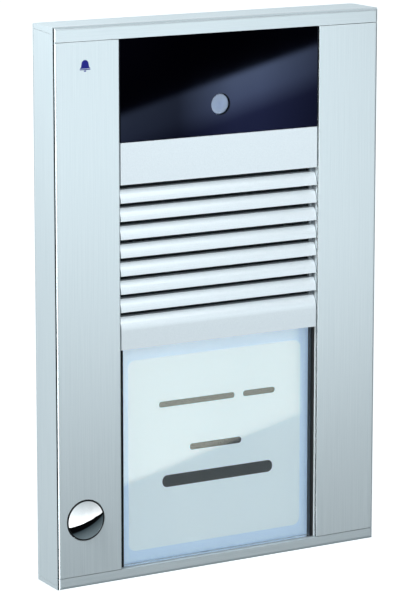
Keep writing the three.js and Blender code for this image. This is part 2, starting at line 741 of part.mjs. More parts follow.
/** Black bar behind the inner edge of a rail: it carries the board, and its lip lines the window's side. */
function windowLiner(side) {
  const lipFront = -WINDOW_FRONT - TOUCH;
  const lipRear = -GUIDE_FRONT - 0.2;
  const behindRail = -FRONT + WALL + TOUCH;
  const outline = [
    point(PANE_HALF + 0.2, lipFront),
    point(MIDDLE_HALF, lipFront),
    point(MIDDLE_HALF, behindRail),
    point(FLANGE_HALF, behindRail),
    point(FLANGE_HALF, -RIB_REAR + FIT),
    point(RIB_OUTER + FIT, -RIB_REAR + FIT),
    point(RIB_OUTER + FIT, -BOARD_FRONT - TOUCH),
    point(GUIDE_HALF + 0.2, -BOARD_FRONT - TOUCH),
    point(GUIDE_HALF + 0.2, lipRear),
    point(PANE_HALF + 0.2, lipRear),
  ].map((p) => point(side * p.x, p.y));
  const bar = alongZ(outline, LOWER_BAY_BOTTOM, LOWER_BAY_TOP - TOUCH);
  return cut(bar, ...BOARD_SCREW.zs.map((z) => disc(1.1, 14.6, 10, side * BOARD_SCREW.x, z, 12)));
}

add('name_window', nameWindow(), clear('#dceaf2'));
add('name_label', panel(
  roundedRect(-LABEL.width / 2, LABEL.width / 2, LABEL.bottom, LABEL.top, LABEL.corner),
  LABEL_FRONT, LABEL_FRONT - LABEL.thick,
), cardWhite);
add('light_guide', block(
  -GUIDE_HALF, GUIDE_HALF,
  GUIDE_FRONT, GUIDE_FRONT - GUIDE_THICK,
  LOWER_BAY_BOTTOM, LOWER_BAY_TOP - FIT,
), whitePlastic);
add('reflector_plate', reflector(), whitePlastic);
add('window_liner_left', windowLiner(-1), blackPlastic);
add('window_liner_right', windowLiner(1), blackPlastic);
LED_SPOTS.forEach(([x, z], index) => {
  add(`backlight_led_${index + 1}`, block(
    x - 1.75, x + 1.75, BOARD_FRONT + 0.8, BOARD_FRONT + TOUCH, z - 1.4, z + 1.4,
  ), finish('#f6f7e8', 0.3, 0));
});

// ---------------------------------------------------------------- main board

/** Board behind the label, with a tab to the left for the bell switch and one upwards for the microphone. */
function mainBoard() {
  const top = LOWER_BAY_TOP - 0.9;
  const bottom = PLATE_BOTTOM + 2;
  const outline = [
    point(-47, bottom),
    point(60, bottom),
    point(60, top),
    point(40, top),
    point(40, 2),
    point(26, 2),
    point(26, top),
    point(-47, top),
    point(-47, BELL.z + 15),
    point(BELL.x - 9, BELL.z + 15),
    point(BELL.x - 9, BELL.z - 15),
    point(-47, BELL.z - 15),
  ];
  const holes = [-1, 1].flatMap((side) =>
    BOARD_SCREW.zs.map((z) => circle(side * BOARD_SCREW.x, z, 1.3, 12)));
  return panel(outline, BOARD_FRONT, BOARD_REAR, holes);
}

const TERMINAL = { x0: 38, x1: 52, z0: -76, poles: 6, pitch: 7 };

/** Screw terminals for the bus wires: round wells for the screws, square mouths towards the cable entry. */
function terminalBlock() {
  const { x0, x1, z0, poles, pitch } = TERMINAL;
  const front = BOARD_REAR - TOUCH;
  const rear = 2.6;
  const body = block(x0, x1, front, rear, z0, z0 + poles * pitch);
  const cutters = [];
  for (let pole = 0; pole < poles; pole += 1) {
    const z = z0 + (pole + 0.5) * pitch;
    cutters.push(disc(2, rear + 1.6, rear - 1, x1 - 4, z, 12));
    cutters.push(block(x0 - 1, x0 + 5, front - 1.2, rear + 1.2, z - 1.7, z + 1.7));
  }
  return cut(body, ...cutters);
}

/** Electrolytic can on its square foot. */
function capacitor(x, z) {
  const front = BOARD_REAR - TOUCH;
  const foot = block(x - 3.3, x + 3.3, front, front - 1, z - 3.3, z + 3.3);
  return join(foot, disc(3.1, front - 0.5, 3.6, x, z, 20));
}

const chip = (x, z, width, height, thick) => block(
  x - width / 2, x + width / 2,
  BOARD_REAR - TOUCH, BOARD_REAR - TOUCH - thick,
  z - height / 2, z + height / 2,
);

add('main_board', mainBoard(), boardGreen);
add('terminal_block', terminalBlock(), terminalGrey);
add('processor_chip', chip(-24, -34, 12, 12, 1.4), magnetBlack);
add('audio_chip', chip(6, -32, 8, 6, 1.3), magnetBlack);
add('capacitor_upper', capacitor(-34, -50), anodised);
add('capacitor_lower', capacitor(-34, -62), anodised);
for (const [side, word] of [[-1, 'left'], [1, 'right']]) {
  BOARD_SCREW.zs.forEach((z, index) => {
    const level = index === 0 ? 'lower' : 'upper';
    add(
      `board_screw_${level}_${word}`,
      rearScrew(side * BOARD_SCREW.x, z, BOARD_REAR - TOUCH, 1.9, 0.8, 14),
      screwSteel,
    );
  });
}

// ---------------------------------------------------------------- bell push

const STEM = { radius: 2.4, shoulder: 14.8, tip: 1.2, end: 13.6 };
const BELL_FLANGE = { radius: 8.3, front: 17.8, rear: 17.2 };

/** Domed button with a retaining flange behind the rail and a stem towards the switch. */
function bellButton() {
  const { dome, crown, rim } = BELL;
  const sphere = (dome * dome + crown * crown) / (2 * crown);
  const centre = rim + crown - sphere;
  const edge = THREE.MathUtils.radToDeg(Math.asin(dome / sphere));
  const face = arc(0, centre, sphere, 90, 90 - edge, 6).map((p) => [Math.max(p.x, 0), p.y]);
  face[0][0] = 0;
  return turned([
    ...face,
    [dome, BELL_FLANGE.front],
    [BELL_FLANGE.radius, BELL_FLANGE.front],
    [BELL_FLANGE.radius, BELL_FLANGE.rear],
    [STEM.radius, BELL_FLANGE.rear],
    [STEM.radius, STEM.shoulder],
    [STEM.tip, STEM.shoulder],
    [STEM.tip, STEM.end],
    [0, STEM.end],
  ], BELL.x, BELL.z, FINE_STEPS);
}

const CUP = { outer: 9.6, inner: 8.6, front: 17.6, floor: 14.4, under: 13.4, hole: 3.2 };

/** Cup that guides the button, with a floor for the spring and a skirt around the switch. */
function buttonGuide() {
  return turnedRing([
    [CUP.inner, CUP.front],
    [CUP.outer, CUP.front],
    [CUP.outer, BOARD_FRONT + TOUCH],
    [CUP.inner, BOARD_FRONT + TOUCH],
    [CUP.inner, CUP.under],
    [CUP.hole, CUP.under],
    [CUP.hole, CUP.floor],
    [CUP.inner, CUP.floor],
  ], BELL.x, BELL.z, FINE_STEPS);
}

/** Centre line of the return spring, wound about the button's axis. */
class SpringCurve extends THREE.Curve {
  getPoint(t, target = new THREE.Vector3()) {
    const turns = 3;
    const wire = 0.25;
    const angle = t * turns * 2 * Math.PI;
    const front = THREE.MathUtils.lerp(BELL_FLANGE.rear - wire - TOUCH, CUP.floor + wire + TOUCH, t);
    return target.set(BELL.x + 5 * Math.cos(angle), -front, BELL.z + 5 * Math.sin(angle));
  }
}

function buttonSpring() {
  const section = new THREE.Shape(circle(0, 0, 0.25, 6));
  const options = { steps: 48, bevelEnabled: false, extrudePath: new SpringCurve() };
  return weld(new THREE.ExtrudeGeometry(section, options));
}

const SWITCH = { half: 3, front: 13, well: 1.8, floor: 11.3, plunger: 1.5, tip: 13.4, tail: 12.4 };

function switchBody() {
  const body = block(
    BELL.x - SWITCH.half, BELL.x + SWITCH.half,
    SWITCH.front, BOARD_FRONT + TOUCH,
    BELL.z - SWITCH.half, BELL.z + SWITCH.half,
  );
  return cut(body, disc(SWITCH.well, SWITCH.front + 1, SWITCH.floor, BELL.x, BELL.z, 20));
}

add('bell_button', bellButton(), chrome);
add('button_seal', turnedRing([
  [8.7, FRONT - WALL - TOUCH],
  [9.5, FRONT - WALL - TOUCH],
  [9.5, CUP.front + TOUCH],
  [8.7, CUP.front + TOUCH],
], BELL.x, BELL.z, FINE_STEPS), rubber);
add('button_guide', buttonGuide(), blackPlastic);
add('button_spring', buttonSpring(), screwSteel);
add('switch_body', switchBody(), magnetBlack);
add('switch_plunger', disc(SWITCH.plunger, SWITCH.tip, SWITCH.tail, BELL.x, BELL.z, 16), whitePlastic);

export default panelGroup;
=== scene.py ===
"""Looks of a surface-mounted door intercom panel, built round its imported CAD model.

Metres, +X right, +Y into the wall, +Z up; the origin is the middle of the face on the wall.
"""

import json
import math
import random

import bmesh
import bpy
from mathutils import Matrix, Vector


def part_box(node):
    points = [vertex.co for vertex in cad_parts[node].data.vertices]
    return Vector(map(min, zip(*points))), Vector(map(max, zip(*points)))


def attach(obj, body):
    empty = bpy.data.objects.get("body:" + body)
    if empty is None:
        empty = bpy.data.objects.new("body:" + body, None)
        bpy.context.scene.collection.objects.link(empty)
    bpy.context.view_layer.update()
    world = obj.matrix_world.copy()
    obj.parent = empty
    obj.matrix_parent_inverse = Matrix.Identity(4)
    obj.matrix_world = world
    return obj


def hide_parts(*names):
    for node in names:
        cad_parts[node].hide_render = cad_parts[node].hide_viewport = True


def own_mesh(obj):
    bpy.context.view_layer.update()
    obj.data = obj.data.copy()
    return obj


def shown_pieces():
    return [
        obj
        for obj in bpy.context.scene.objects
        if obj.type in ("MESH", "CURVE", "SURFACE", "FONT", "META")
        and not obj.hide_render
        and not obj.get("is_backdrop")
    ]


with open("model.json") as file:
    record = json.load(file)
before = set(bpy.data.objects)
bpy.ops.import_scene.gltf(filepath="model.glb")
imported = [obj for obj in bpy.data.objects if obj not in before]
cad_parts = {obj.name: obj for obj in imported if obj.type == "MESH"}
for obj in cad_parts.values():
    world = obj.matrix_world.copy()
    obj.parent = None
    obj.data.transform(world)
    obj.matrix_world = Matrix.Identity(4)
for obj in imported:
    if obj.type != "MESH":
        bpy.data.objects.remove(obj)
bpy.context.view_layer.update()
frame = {"nodes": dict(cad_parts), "record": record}

MM = 0.001
ROUND_STEPS = 96         # sides of a full turn
SMOOTH_ANGLE = math.radians(30)

NODES = frame["nodes"]
SLOT_OF = {part["node"]: part["material_slot"] for part in frame["record"]["subparts"]}


# ---------------------------------------------------------------- places from the frame

def centre_of(node):
    low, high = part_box(node)
    return (Vector(low) + Vector(high)) / 2


def size_of(node):
    low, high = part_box(node)
    return Vector(high) - Vector(low)


def front_of(node):
    """y of the node's face that looks away from the wall."""
    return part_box(node)[0][1]


def rear_of(node):
    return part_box(node)[1][1]


# ---------------------------------------------------------------- node helpers

def colour(code):
    """Linear colour of a #rrggbb code."""
    channels = [int(code[i:i + 2], 16) / 255 for i in (1, 3, 5)]
    linear = [c / 12.92 if c <= 0.04045 else ((c + 0.055) / 1.055) ** 2.4 for c in channels]
    return (*linear, 1.0)


def add_node(tree, kind, inputs=None, **settings):
    """Adds a node. Each input is given a value, or is linked from a socket."""
    made = tree.nodes.new(kind)
    for key, value in settings.items():
        setattr(made, key, value)
    for key, value in (inputs or {}).items():
        if isinstance(value, bpy.types.NodeSocket):
            tree.links.new(value, made.inputs[key])
        else:
            made.inputs[key].default_value = value
    return made


def new_material(name, **sockets):
    """A material with one Principled shader. A socket's name has _ for each space."""
    made = bpy.data.materials.new(name)
    made.use_nodes = True
    tree = made.node_tree
    shader = tree.nodes["Principled BSDF"]
    for key, value in sockets.items():
        shader.inputs[key.replace("_", " ")].default_value = value
    return made, tree, shader


def place(tree, scale=(1, 1, 1), centre=(0, 0, 0)):
    """Object coordinates from a centre, stretched along each axis."""
    there = add_node(tree, "ShaderNodeTexCoord").outputs["Object"]
    moved = add_node(tree, "ShaderNodeVectorMath", {0: there, 1: tuple(centre)}, operation="SUBTRACT")
    return add_node(
        tree, "ShaderNodeVectorMath", {0: moved.outputs[0], 1: tuple(scale)}, operation="MULTIPLY"
    ).outputs[0]


def noise(tree, vector, scale, detail=3.0, roughness=0.55):
    return add_node(
        tree, "ShaderNodeTexNoise",
        {"Vector": vector, "Scale": scale, "Detail": detail, "Roughness": roughness},
    ).outputs[0]


def maths(tree, operation, a, b=0.0):
    return add_node(tree, "ShaderNodeMath", {0: a, 1: b}, operation=operation).outputs[0]


def spread(tree, value, low, high, start=0.0, end=1.0):
    """Maps start..end of a value to low..high, and holds it there outside."""
    return add_node(
        tree, "ShaderNodeMapRange",
        {"Value": value, "From Min": start, "From Max": end, "To Min": low, "To Max": high},
    ).outputs[0]


def blend_colour(tree, factor, first, second):
    return add_node(tree, "ShaderNodeMix", {0: factor, 6: first, 7: second}, data_type="RGBA").outputs[2]


def ramp(tree, value, stops):
    made = add_node(tree, "ShaderNodeValToRGB", {"Fac": value})
    elements = made.color_ramp.elements
    elements[0].position, elements[0].color = stops[0]
    elements[1].position, elements[1].color = stops[-1]
    for position, shade in stops[1:-1]:
        elements.new(position).color = shade
    return made.outputs["Color"]


def bump(tree, shader, height, distance):
    made = add_node(tree, "ShaderNodeBump", {"Height": height, "Distance": distance, "Strength": 1.0})
    tree.links.new(made.outputs["Normal"], shader.inputs["Normal"])


def edge_wear(tree, radius):
    """1 on the very edges, where handling polishes a surface, and 0 on its flats."""
    rounded = add_node(tree, "ShaderNodeBevel", {"Radius": radius}, samples=4).outputs["Normal"]
    flat = add_node(tree, "ShaderNodeNewGeometry").outputs["Normal"]
    along = add_node(tree, "ShaderNodeVectorMath", {0: rounded, 1: flat}, operation="DOT_PRODUCT")
    return spread(tree, along.outputs["Value"], 0.0, 1.0, start=0.99, end=0.8)


def rounded_part(tree):
    """1 on the rounding of a front edge, and 0 on the faces it joins."""
    normal = add_node(tree, "ShaderNodeTexCoord").outputs["Normal"]
    forward = maths(tree, "ABSOLUTE", add_node(tree, "ShaderNodeSeparateXYZ", {0: normal}).outputs[1])
    off_side = spread(tree, forward, 0.0, 1.0, start=0.02, end=0.1)
    return maths(tree, "MULTIPLY", off_side, spread(tree, forward, 1.0, 0.0, start=0.8, end=0.92))


# ---------------------------------------------------------------- materials

def brushed_metal(name, light, dark, edge, grain, roughness, metallic, wear=0.25 * MM, scratch=0.004 * MM,
                  polished_rounds=False):
    """Metal with fine lines. grain is the stretch of the noise: small along the lines, large across."""
    made, tree, shader = new_material(name, Metallic=metallic)
    lines = noise(tree, place(tree, grain), 1.0, detail=4.0, roughness=0.7)
    clouds = noise(tree, place(tree), 22.0, detail=2.0)
    tone = maths(tree, "ADD", spread(tree, lines, 0.0, 0.75, 0.3, 0.7), spread(tree, clouds, 0.0, 0.25))
    base = blend_colour(tree, tone, colour(dark), colour(light))
    worn = maths(tree, "MULTIPLY", edge_wear(tree, wear), noise(tree, place(tree), 900.0))
    tree.links.new(blend_colour(tree, worn, base, colour(edge)), shader.inputs["Base Color"])
    sheen = spread(tree, lines, roughness - 0.05, roughness + 0.06, 0.3, 0.7)
    polished = maths(tree, "SUBTRACT", sheen, maths(tree, "MULTIPLY", worn, 0.15))
    if polished_rounds:
        rounding = rounded_part(tree)
        tree.links.new(spread(tree, rounding, metallic, 1.0), shader.inputs["Metallic"])
        polished = maths(tree, "SUBTRACT", polished, maths(tree, "MULTIPLY", rounding, roughness - 0.14))
    tree.links.new(polished, shader.inputs["Roughness"])
    bump(tree, shader, lines, scratch)
    return made


def satin_silver():
    """Satin lacquer with a faint metallic flake."""
    made, tree, shader = new_material("satin_silver", Metallic=0.3, Coat_Weight=0.1, Coat_Roughness=0.35)
    flake = noise(tree, place(tree), 5200.0, detail=1.0)
    clouds = noise(tree, place(tree), 30.0, detail=2.0)
    base = ramp(tree, flake, [(0.3, colour("#c9d1d6")), (0.7, colour("#d8dfe3"))])
    soft = blend_colour(tree, spread(tree, clouds, 0.0, 0.35), base, colour("#d0d8dd"))
    worn = edge_wear(tree, 0.2 * MM)
    tree.links.new(blend_colour(tree, worn, soft, colour("#f7fafc")), shader.inputs["Base Color"])
    tree.links.new(spread(tree, flake, 0.34, 0.44, 0.3, 0.7), shader.inputs["Roughness"])
    bump(tree, shader, flake, 0.0015 * MM)
    return made


def black_glass():
    """Glass printed black behind, with the faintest haze of wiping on its face."""
    made, tree, shader = new_material("black_glass", IOR=1.52)
    wiped = noise(tree, place(tree, (1.0, 1.0, 0.35)), 60.0, detail=5.0, roughness=0.65)
    deep = noise(tree, place(tree), 14.0, detail=2.0)
    tree.links.new(ramp(tree, deep, [(0.35, colour("#010104")), (0.7, colour("#05050d"))]),
                   shader.inputs["Base Color"])
    worn = edge_wear(tree, 0.15 * MM)
    tree.links.new(maths(tree, "ADD", spread(tree, wiped, 0.025, 0.06), maths(tree, "MULTIPLY", worn, 0.25)),
                   shader.inputs["Roughness"])
    bump(tree, shader, deep, 0.004 * MM)
    return made


def clear_cover():
    """Clear acrylic whose two upright edge faces are made black and opaque: painted shade for the dark
    recess beside the window.
    """
    made, tree, shader = new_material("clear_cover", IOR=1.49)
    facing = add_node(tree, "ShaderNodeTexCoord").outputs["Normal"]
    sideways = add_node(tree, "ShaderNodeSeparateXYZ", {0: facing}).outputs[0]
    # painted shade: the upright edge faces turn black and let no light through
    painted = spread(tree, maths(tree, "ABSOLUTE", sideways), 0.0, 1.0, start=0.85, end=0.95)
    smear = noise(tree, place(tree, (1.0, 1.0, 0.4)), 45.0, detail=4.0)
    tint = blend_colour(tree, smear, colour("#f1f8fc"), colour("#f7fbfd"))
    tree.links.new(blend_colour(tree, painted, tint, colour("#06080c")), shader.inputs["Base Color"])
    tree.links.new(maths(tree, "SUBTRACT", 1.0, painted), shader.inputs["Transmission Weight"])
    dull = maths(tree, "MULTIPLY", painted, 0.4)
    tree.links.new(maths(tree, "ADD", spread(tree, smear, 0.01, 0.035), dull), shader.inputs["Roughness"])
    bump(tree, shader, smear, 0.003 * MM)
    return made


def lens_clear():
    """Coated front window: milky blue, paler towards its rim."""
    made, tree, shader = new_material(
        "lens_clear", IOR=1.5, Coat_Weight=0.6, Coat_Roughness=0.04, Transmission_Weight=0.35
    )
    middle = centre_of("lens_window")
    offset = place(tree, (1, 0, 1), middle)
    radius = add_node(tree, "ShaderNodeVectorMath", {0: offset}, operation="LENGTH").outputs["Value"]
    rim = spread(tree, radius, 0.0, 1.0, end=4 * MM)
    haze = noise(tree, place(tree), 700.0, detail=3.0)
    base = ramp(tree, rim, [
        (0.0, colour("#7c94ba")), (0.35, colour("#8ca3c9")),
        (0.72, colour("#9ab1d3")), (0.95, colour("#b4c6e0")),
    ])
    tree.links.new(blend_colour(tree, spread(tree, haze, 0.0, 0.3), base, colour("#abbdd9")),
                   shader.inputs["Base Color"])
    tree.links.new(spread(tree, haze, 0.12, 0.22), shader.inputs["Roughness"])
    bump(tree, shader, haze, 0.002 * MM)
    return made


def lens_coated():
    """Deep coated glass of the inner lens, darkest over the pupil."""
    made, tree, shader = new_material(
        "lens_coated", IOR=1.6, Coat_Weight=1.0, Coat_Roughness=0.02, Roughness=0.06
    )
    offset = place(tree, (1, 0, 1), centre_of("lens_element"))
    radius = add_node(tree, "ShaderNodeVectorMath", {0: offset}, operation="LENGTH").outputs["Value"]
    rim = spread(tree, radius, 0.0, 1.0, end=2.5 * MM)
    base = ramp(tree, rim, [
        (0.0, colour("#0c1224")), (0.32, colour("#1d2b52")),
        (0.5, colour("#5f78ad")), (1.0, colour("#a9bbe0")),
    ])
    coating = noise(tree, place(tree), 500.0)
    tree.links.new(blend_colour(tree, spread(tree, coating, 0.0, 0.2), base, colour("#7f6fa8")),
                   shader.inputs["Base Color"])
    return made


def chrome():
    """Polished chrome with hairlines from fingers."""
    made, tree, shader = new_material("chrome", Metallic=1.0)
    fingers = noise(tree, place(tree), 420.0, detail=6.0, roughness=0.7)
    hairs = noise(tree, place(tree, (9000.0, 400.0, 2600.0)), 1.0, detail=3.0)
    tree.links.new(blend_colour(tree, fingers, colour("#dde1e3"), colour("#eff1f2")),
                   shader.inputs["Base Color"])
    tree.links.new(spread(tree, fingers, 0.025, 0.075, 0.35, 0.8), shader.inputs["Roughness"])
    bump(tree, shader, hairs, 0.0002 * MM)
    return made


def moulded(name, light, dark, roughness, grain=0.004 * MM, scale=2600.0, edge=None, **sockets):
    """Moulded plastic or rubber with an eroded grain and paler rubbed edges."""
    made, tree, shader = new_material(name, **sockets)
    pebbles = noise(tree, place(tree), scale, detail=4.0, roughness=0.6)
    clouds = noise(tree, place(tree), 35.0, detail=2.0)
    base = blend_colour(tree, maths(tree, "MULTIPLY", pebbles, clouds), colour(dark), colour(light))
    worn = maths(tree, "MULTIPLY", edge_wear(tree, 0.2 * MM), clouds)
    tree.links.new(blend_colour(tree, worn, base, colour(edge or light)), shader.inputs["Base Color"])
    sheen = spread(tree, pebbles, roughness - 0.08, roughness + 0.08, 0.3, 0.7)
    tree.links.new(sheen, shader.inputs["Roughness"])
    bump(tree, shader, pebbles, grain)
    return made


def woven_cloth():
    """Thin acoustic cloth: two sets of threads that pass over and under each other."""
    made, tree, shader = new_material("acoustic_cloth", Roughness=0.9, Sheen_Weight=0.3, Sheen_Roughness=0.5)
    threads = []
    for direction in ("X", "Z"):
        threads.append(add_node(
            tree, "ShaderNodeTexWave", {"Vector": place(tree), "Scale": 420.0, "Distortion": 0.4},
            bands_direction=direction,
        ).outputs["Fac"])
    weave = maths(tree, "MULTIPLY", *threads)
    fuzz = noise(tree, place(tree), 3000.0)
    tone = maths(tree, "ADD", weave, maths(tree, "MULTIPLY", fuzz, 0.3))
    tree.links.new(ramp(tree, tone, [(0.1, colour("#14181b")), (1.0, colour("#59636a"))]),
                   shader.inputs["Base Color"])
    bump(tree, shader, weave, 0.05 * MM)
    return made


def circuit_board():
    """Green solder mask over copper tracks, with bare pads."""
    made, tree, shader = new_material("circuit_board", Coat_Weight=0.3, Coat_Roughness=0.2)
    tracks = add_node(
        tree, "ShaderNodeTexBrick",
        {"Vector": place(tree), "Scale": 160.0, "Mortar Size": 0.06, "Mortar Smooth": 0.1},
    ).outputs["Fac"]
    dots = add_node(tree, "ShaderNodeTexVoronoi", {"Vector": place(tree), "Scale": 260.0})
    pads = dots.outputs["Distance"]
    bare = spread(tree, pads, 1.0, 0.0, 0.08, 0.1)
    mask = blend_colour(tree, tracks, colour("#0e4a2c"), colour("#1b6a41"))
    grain = noise(tree, place(tree), 1800.0)
    shaded = blend_colour(tree, spread(tree, grain, 0.0, 0.4), mask, colour("#0b3b24"))
    tree.links.new(blend_colour(tree, bare, shaded, colour("#c9b26a")), shader.inputs["Base Color"])
    tree.links.new(spread(tree, bare, 0.45, 0.25), shader.inputs["Roughness"])
    bump(tree, shader, tracks, 0.02 * MM)
    return made


def label_card():
    """Matt translucent card with faint fibres, lit from behind."""
    made, tree, shader = new_material("label_card", Roughness=0.75, Emission_Strength=0.28)
    shader.inputs["Emission Color"].default_value = colour("#e2ecee")
    fibres = noise(tree, place(tree, (1.0, 1.0, 2.5)), 1500.0, detail=5.0, roughness=0.7)
    clouds = noise(tree, place(tree), 18.0)
    tone = maths(tree, "ADD", maths(tree, "MULTIPLY", fibres, 0.6), maths(tree, "MULTIPLY", clouds, 0.4))
    tree.links.new(ramp(tree, tone, [(0.3, colour("#dde9ef")), (0.7, colour("#e6f0f5"))]),
                   shader.inputs["Base Color"])
    bump(tree, shader, fibres, 0.003 * MM)
    return made


def light_guide():
    """Milky acrylic plate, lit from its rear."""
    made, tree, shader = new_material("light_guide", Roughness=0.4, Emission_Strength=0.42)
    shader.inputs["Emission Color"].default_value = colour("#b2c9e2")
    milk = noise(tree, place(tree), 600.0, detail=4.0)
    clouds = noise(tree, place(tree), 16.0)
    tone = maths(tree, "ADD", maths(tree, "MULTIPLY", milk, 0.3), maths(tree, "MULTIPLY", clouds, 0.7))
    tree.links.new(ramp(tree, tone, [(0.3, colour("#bccfe4")), (0.7, colour("#c8d9ea"))]),
                   shader.inputs["Base Color"])
    bump(tree, shader, milk, 0.001 * MM)
    return made


def print_ink(name, shade, dense):
    """Printed ink: nearly even, thinner where the surface under it is higher."""
    made, tree, shader = new_material(name, Roughness=0.5)
    speckle = noise(tree, place(tree), 2400.0, detail=4.0)
    tree.links.new(ramp(tree, speckle, [(0.35, colour(dense)), (0.75, colour(shade))]),
                   shader.inputs["Base Color"])
    bump(tree, shader, speckle, 0.001 * MM)
    return made


def led_lens():
    """Milky lens of a small lamp."""
    made, tree, shader = new_material("led", Transmission_Weight=0.2, IOR=1.45, Coat_Weight=0.4)
    milk = noise(tree, place(tree), 1200.0)
    tree.links.new(blend_colour(tree, milk, colour("#f4efc4"), colour("#fbf8e2")),
                   shader.inputs["Base Color"])
    tree.links.new(spread(tree, milk, 0.2, 0.35), shader.inputs["Roughness"])
    return made


def pressed_paper():
    """Loudspeaker cone: pressed black pulp with fine rings."""
    made, tree, shader = new_material("cone_paper", Sheen_Weight=0.2)
    offset = place(tree, (1, 0, 1), centre_of("speaker_cone"))
    rings = add_node(
        tree, "ShaderNodeTexWave", {"Vector": offset, "Scale": 260.0, "Distortion": 0.3},
        wave_type="RINGS", rings_direction="SPHERICAL",
    ).outputs["Fac"]
    pulp = noise(tree, place(tree), 1600.0, detail=6.0, roughness=0.7)
    tone = maths(tree, "ADD", maths(tree, "MULTIPLY", pulp, 0.7), maths(tree, "MULTIPLY", rings, 0.3))
    tree.links.new(ramp(tree, tone, [(0.25, colour("#0f0e0d")), (0.8, colour("#35302b"))]),
                   shader.inputs["Base Color"])
    tree.links.new(spread(tree, pulp, 0.75, 0.95), shader.inputs["Roughness"])
    bump(tree, shader, tone, 0.04 * MM)
    return made


ALONG_Z = (2600.0, 2600.0, 26.0)
ALONG_X = (26.0, 2600.0, 2600.0)


def anodised(name, grain):
    return brushed_metal(
        name, light="#d7dfe2", dark="#c6d0d4", edge="#eef3f5", grain=grain, roughness=0.42, metallic=0.55,
        polished_rounds=True,
    )


MATERIALS = {
    "anodised_aluminium": anodised("anodised_upright", ALONG_Z),
    "anodised_across": anodised("anodised_across", ALONG_X),
    "satin_silver": satin_silver(),
    "black_glass": black_glass(),
    "clear_cover": clear_cover(),
    "lens_clear": lens_clear(),
    "lens_coated": lens_coated(),
    "chrome": chrome(),
    "zinc_steel": brushed_metal(
        "zinc_steel", light="#b3bbc0", dark="#8b949a", edge="#d5dadd", grain=ALONG_X, roughness=0.4,
        metallic=0.9, scratch=0.01 * MM,
    ),
    "screw_steel": brushed_metal(
        "screw_steel", light="#b8bdc0", dark="#858b8f", edge="#e1e4e6", grain=(900.0, 900.0, 900.0),
        roughness=0.28, metallic=1.0, wear=0.12 * MM,
    ),
    "black_plastic": moulded("black_plastic", "#1d1f22", "#08090a", 0.5, edge="#33373b"),
    "white_plastic": moulded("white_plastic", "#f4f7f9", "#dfe5e9", 0.45, grain=0.002 * MM),
    "rubber": moulded("rubber", "#1b1c1d", "#0a0a0b", 0.8, scale=1800.0, edge="#2c2e30"),
    "acoustic_cloth": woven_cloth(),
    "circuit_board": circuit_board(),
    "terminal_grey": moulded("terminal_grey", "#9aa3a8", "#747d82", 0.5, edge="#b9c1c5"),
    "component_black": moulded("component_black", "#1a1a1b", "#0b0b0c", 0.45, edge="#2b2b2d"),
    "component_metal": brushed_metal(
        "component_metal", light="#cdd2d5", dark="#a9afb3", edge="#eceff0", grain=(600.0, 60.0, 600.0),
        roughness=0.3, metallic=1.0, wear=0.15 * MM,
    ),
    "led": led_lens(),
    "label_card": label_card(),
    "light_guide": light_guide(),
    "label_ink": print_ink("label_ink", "#333b41", "#23292d"),
    "mark_ink": print_ink("mark_ink", "#3a3aae", "#29299a"),
    "cone_paper": pressed_paper(),
    "speaker_metal": moulded("speaker_metal", "#26282b", "#121315", 0.4, edge="#4a4e52", Metallic=0.4),
}


# ---------------------------------------------------------------- mesh helpers

def smooth_by_angle():
    """Geometry nodes that shade a mesh smooth, and keep the edges over SMOOTH_ANGLE sharp."""
    tree = bpy.data.node_groups.new("smooth_by_angle", "GeometryNodeTree")
    tree.interface.new_socket("Geometry", in_out="INPUT", socket_type="NodeSocketGeometry")
    tree.interface.new_socket("Geometry", in_out="OUTPUT", socket_type="NodeSocketGeometry")
    entry = tree.nodes.new("NodeGroupInput")
    leave = tree.nodes.new("NodeGroupOutput")
    angle = add_node(tree, "GeometryNodeInputMeshEdgeAngle").outputs[0]
    steep = add_node(tree, "FunctionNodeCompare", {0: angle, 1: SMOOTH_ANGLE}, operation="GREATER_THAN")
    faces = add_node(tree, "GeometryNodeSetShadeSmooth", {"Geometry": entry.outputs[0]}, domain="FACE")
    edges = add_node(
        tree, "GeometryNodeSetShadeSmooth",
        {"Geometry": faces.outputs[0], "Selection": steep.outputs[0], "Shade Smooth": False}, domain="EDGE",
    )
    tree.links.new(edges.outputs[0], leave.inputs[0])
    return tree


SMOOTHING = smooth_by_angle()


BEVEL_SEGMENTS = 3


def soften(piece, width=None):
    """Rounds the piece's sharp edges by a bevel of that width, and shades it smooth."""
    if width:
        flats = piece.modifiers.new("flats", "DECIMATE")
        flats.decimate_type = "DISSOLVE"
        flats.angle_limit = math.radians(0.5)
        bevel = piece.modifiers.new("edges", "BEVEL")
        bevel.width = width
        bevel.segments = BEVEL_SEGMENTS
        bevel.limit_method = "ANGLE"
        bevel.angle_limit = math.radians(40)
        bevel.miter_outer = "MITER_ARC"
        bevel.harden_normals = False
    shading = piece.modifiers.new("shading", "NODES")
    shading.node_group = SMOOTHING
    return piece


def paint(piece, material):
    """Gives the piece one material, in its object's own slot."""
    if not piece.material_slots:
        piece.data.materials.append(None)
    for slot in piece.material_slots:
        slot.link = "OBJECT"
        slot.material = material


def new_piece(name, mesh, body, slot, material=None, replaced=()):
    """Makes an object of a bmesh, in the row frame, that rides on a body."""
    bmesh.ops.recalc_face_normals(mesh, faces=mesh.faces)
    data = bpy.data.meshes.new(name)
    mesh.to_mesh(data)
    mesh.free()
    piece = bpy.data.objects.new(name, data)
    bpy.context.scene.collection.objects.link(piece)
    paint(piece, MATERIALS[material or slot])
    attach(piece, body)
    if replaced:
        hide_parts(*replaced)
    return piece


def arc(x, y, radius, start, end, steps):
    """Points of an arc about (x, y), ends included, angles in degrees."""
    turns = [math.radians(start + (end - start) * i / steps) for i in range(steps + 1)]
    return [(x + radius * math.cos(turn), y + radius * math.sin(turn)) for turn in turns]


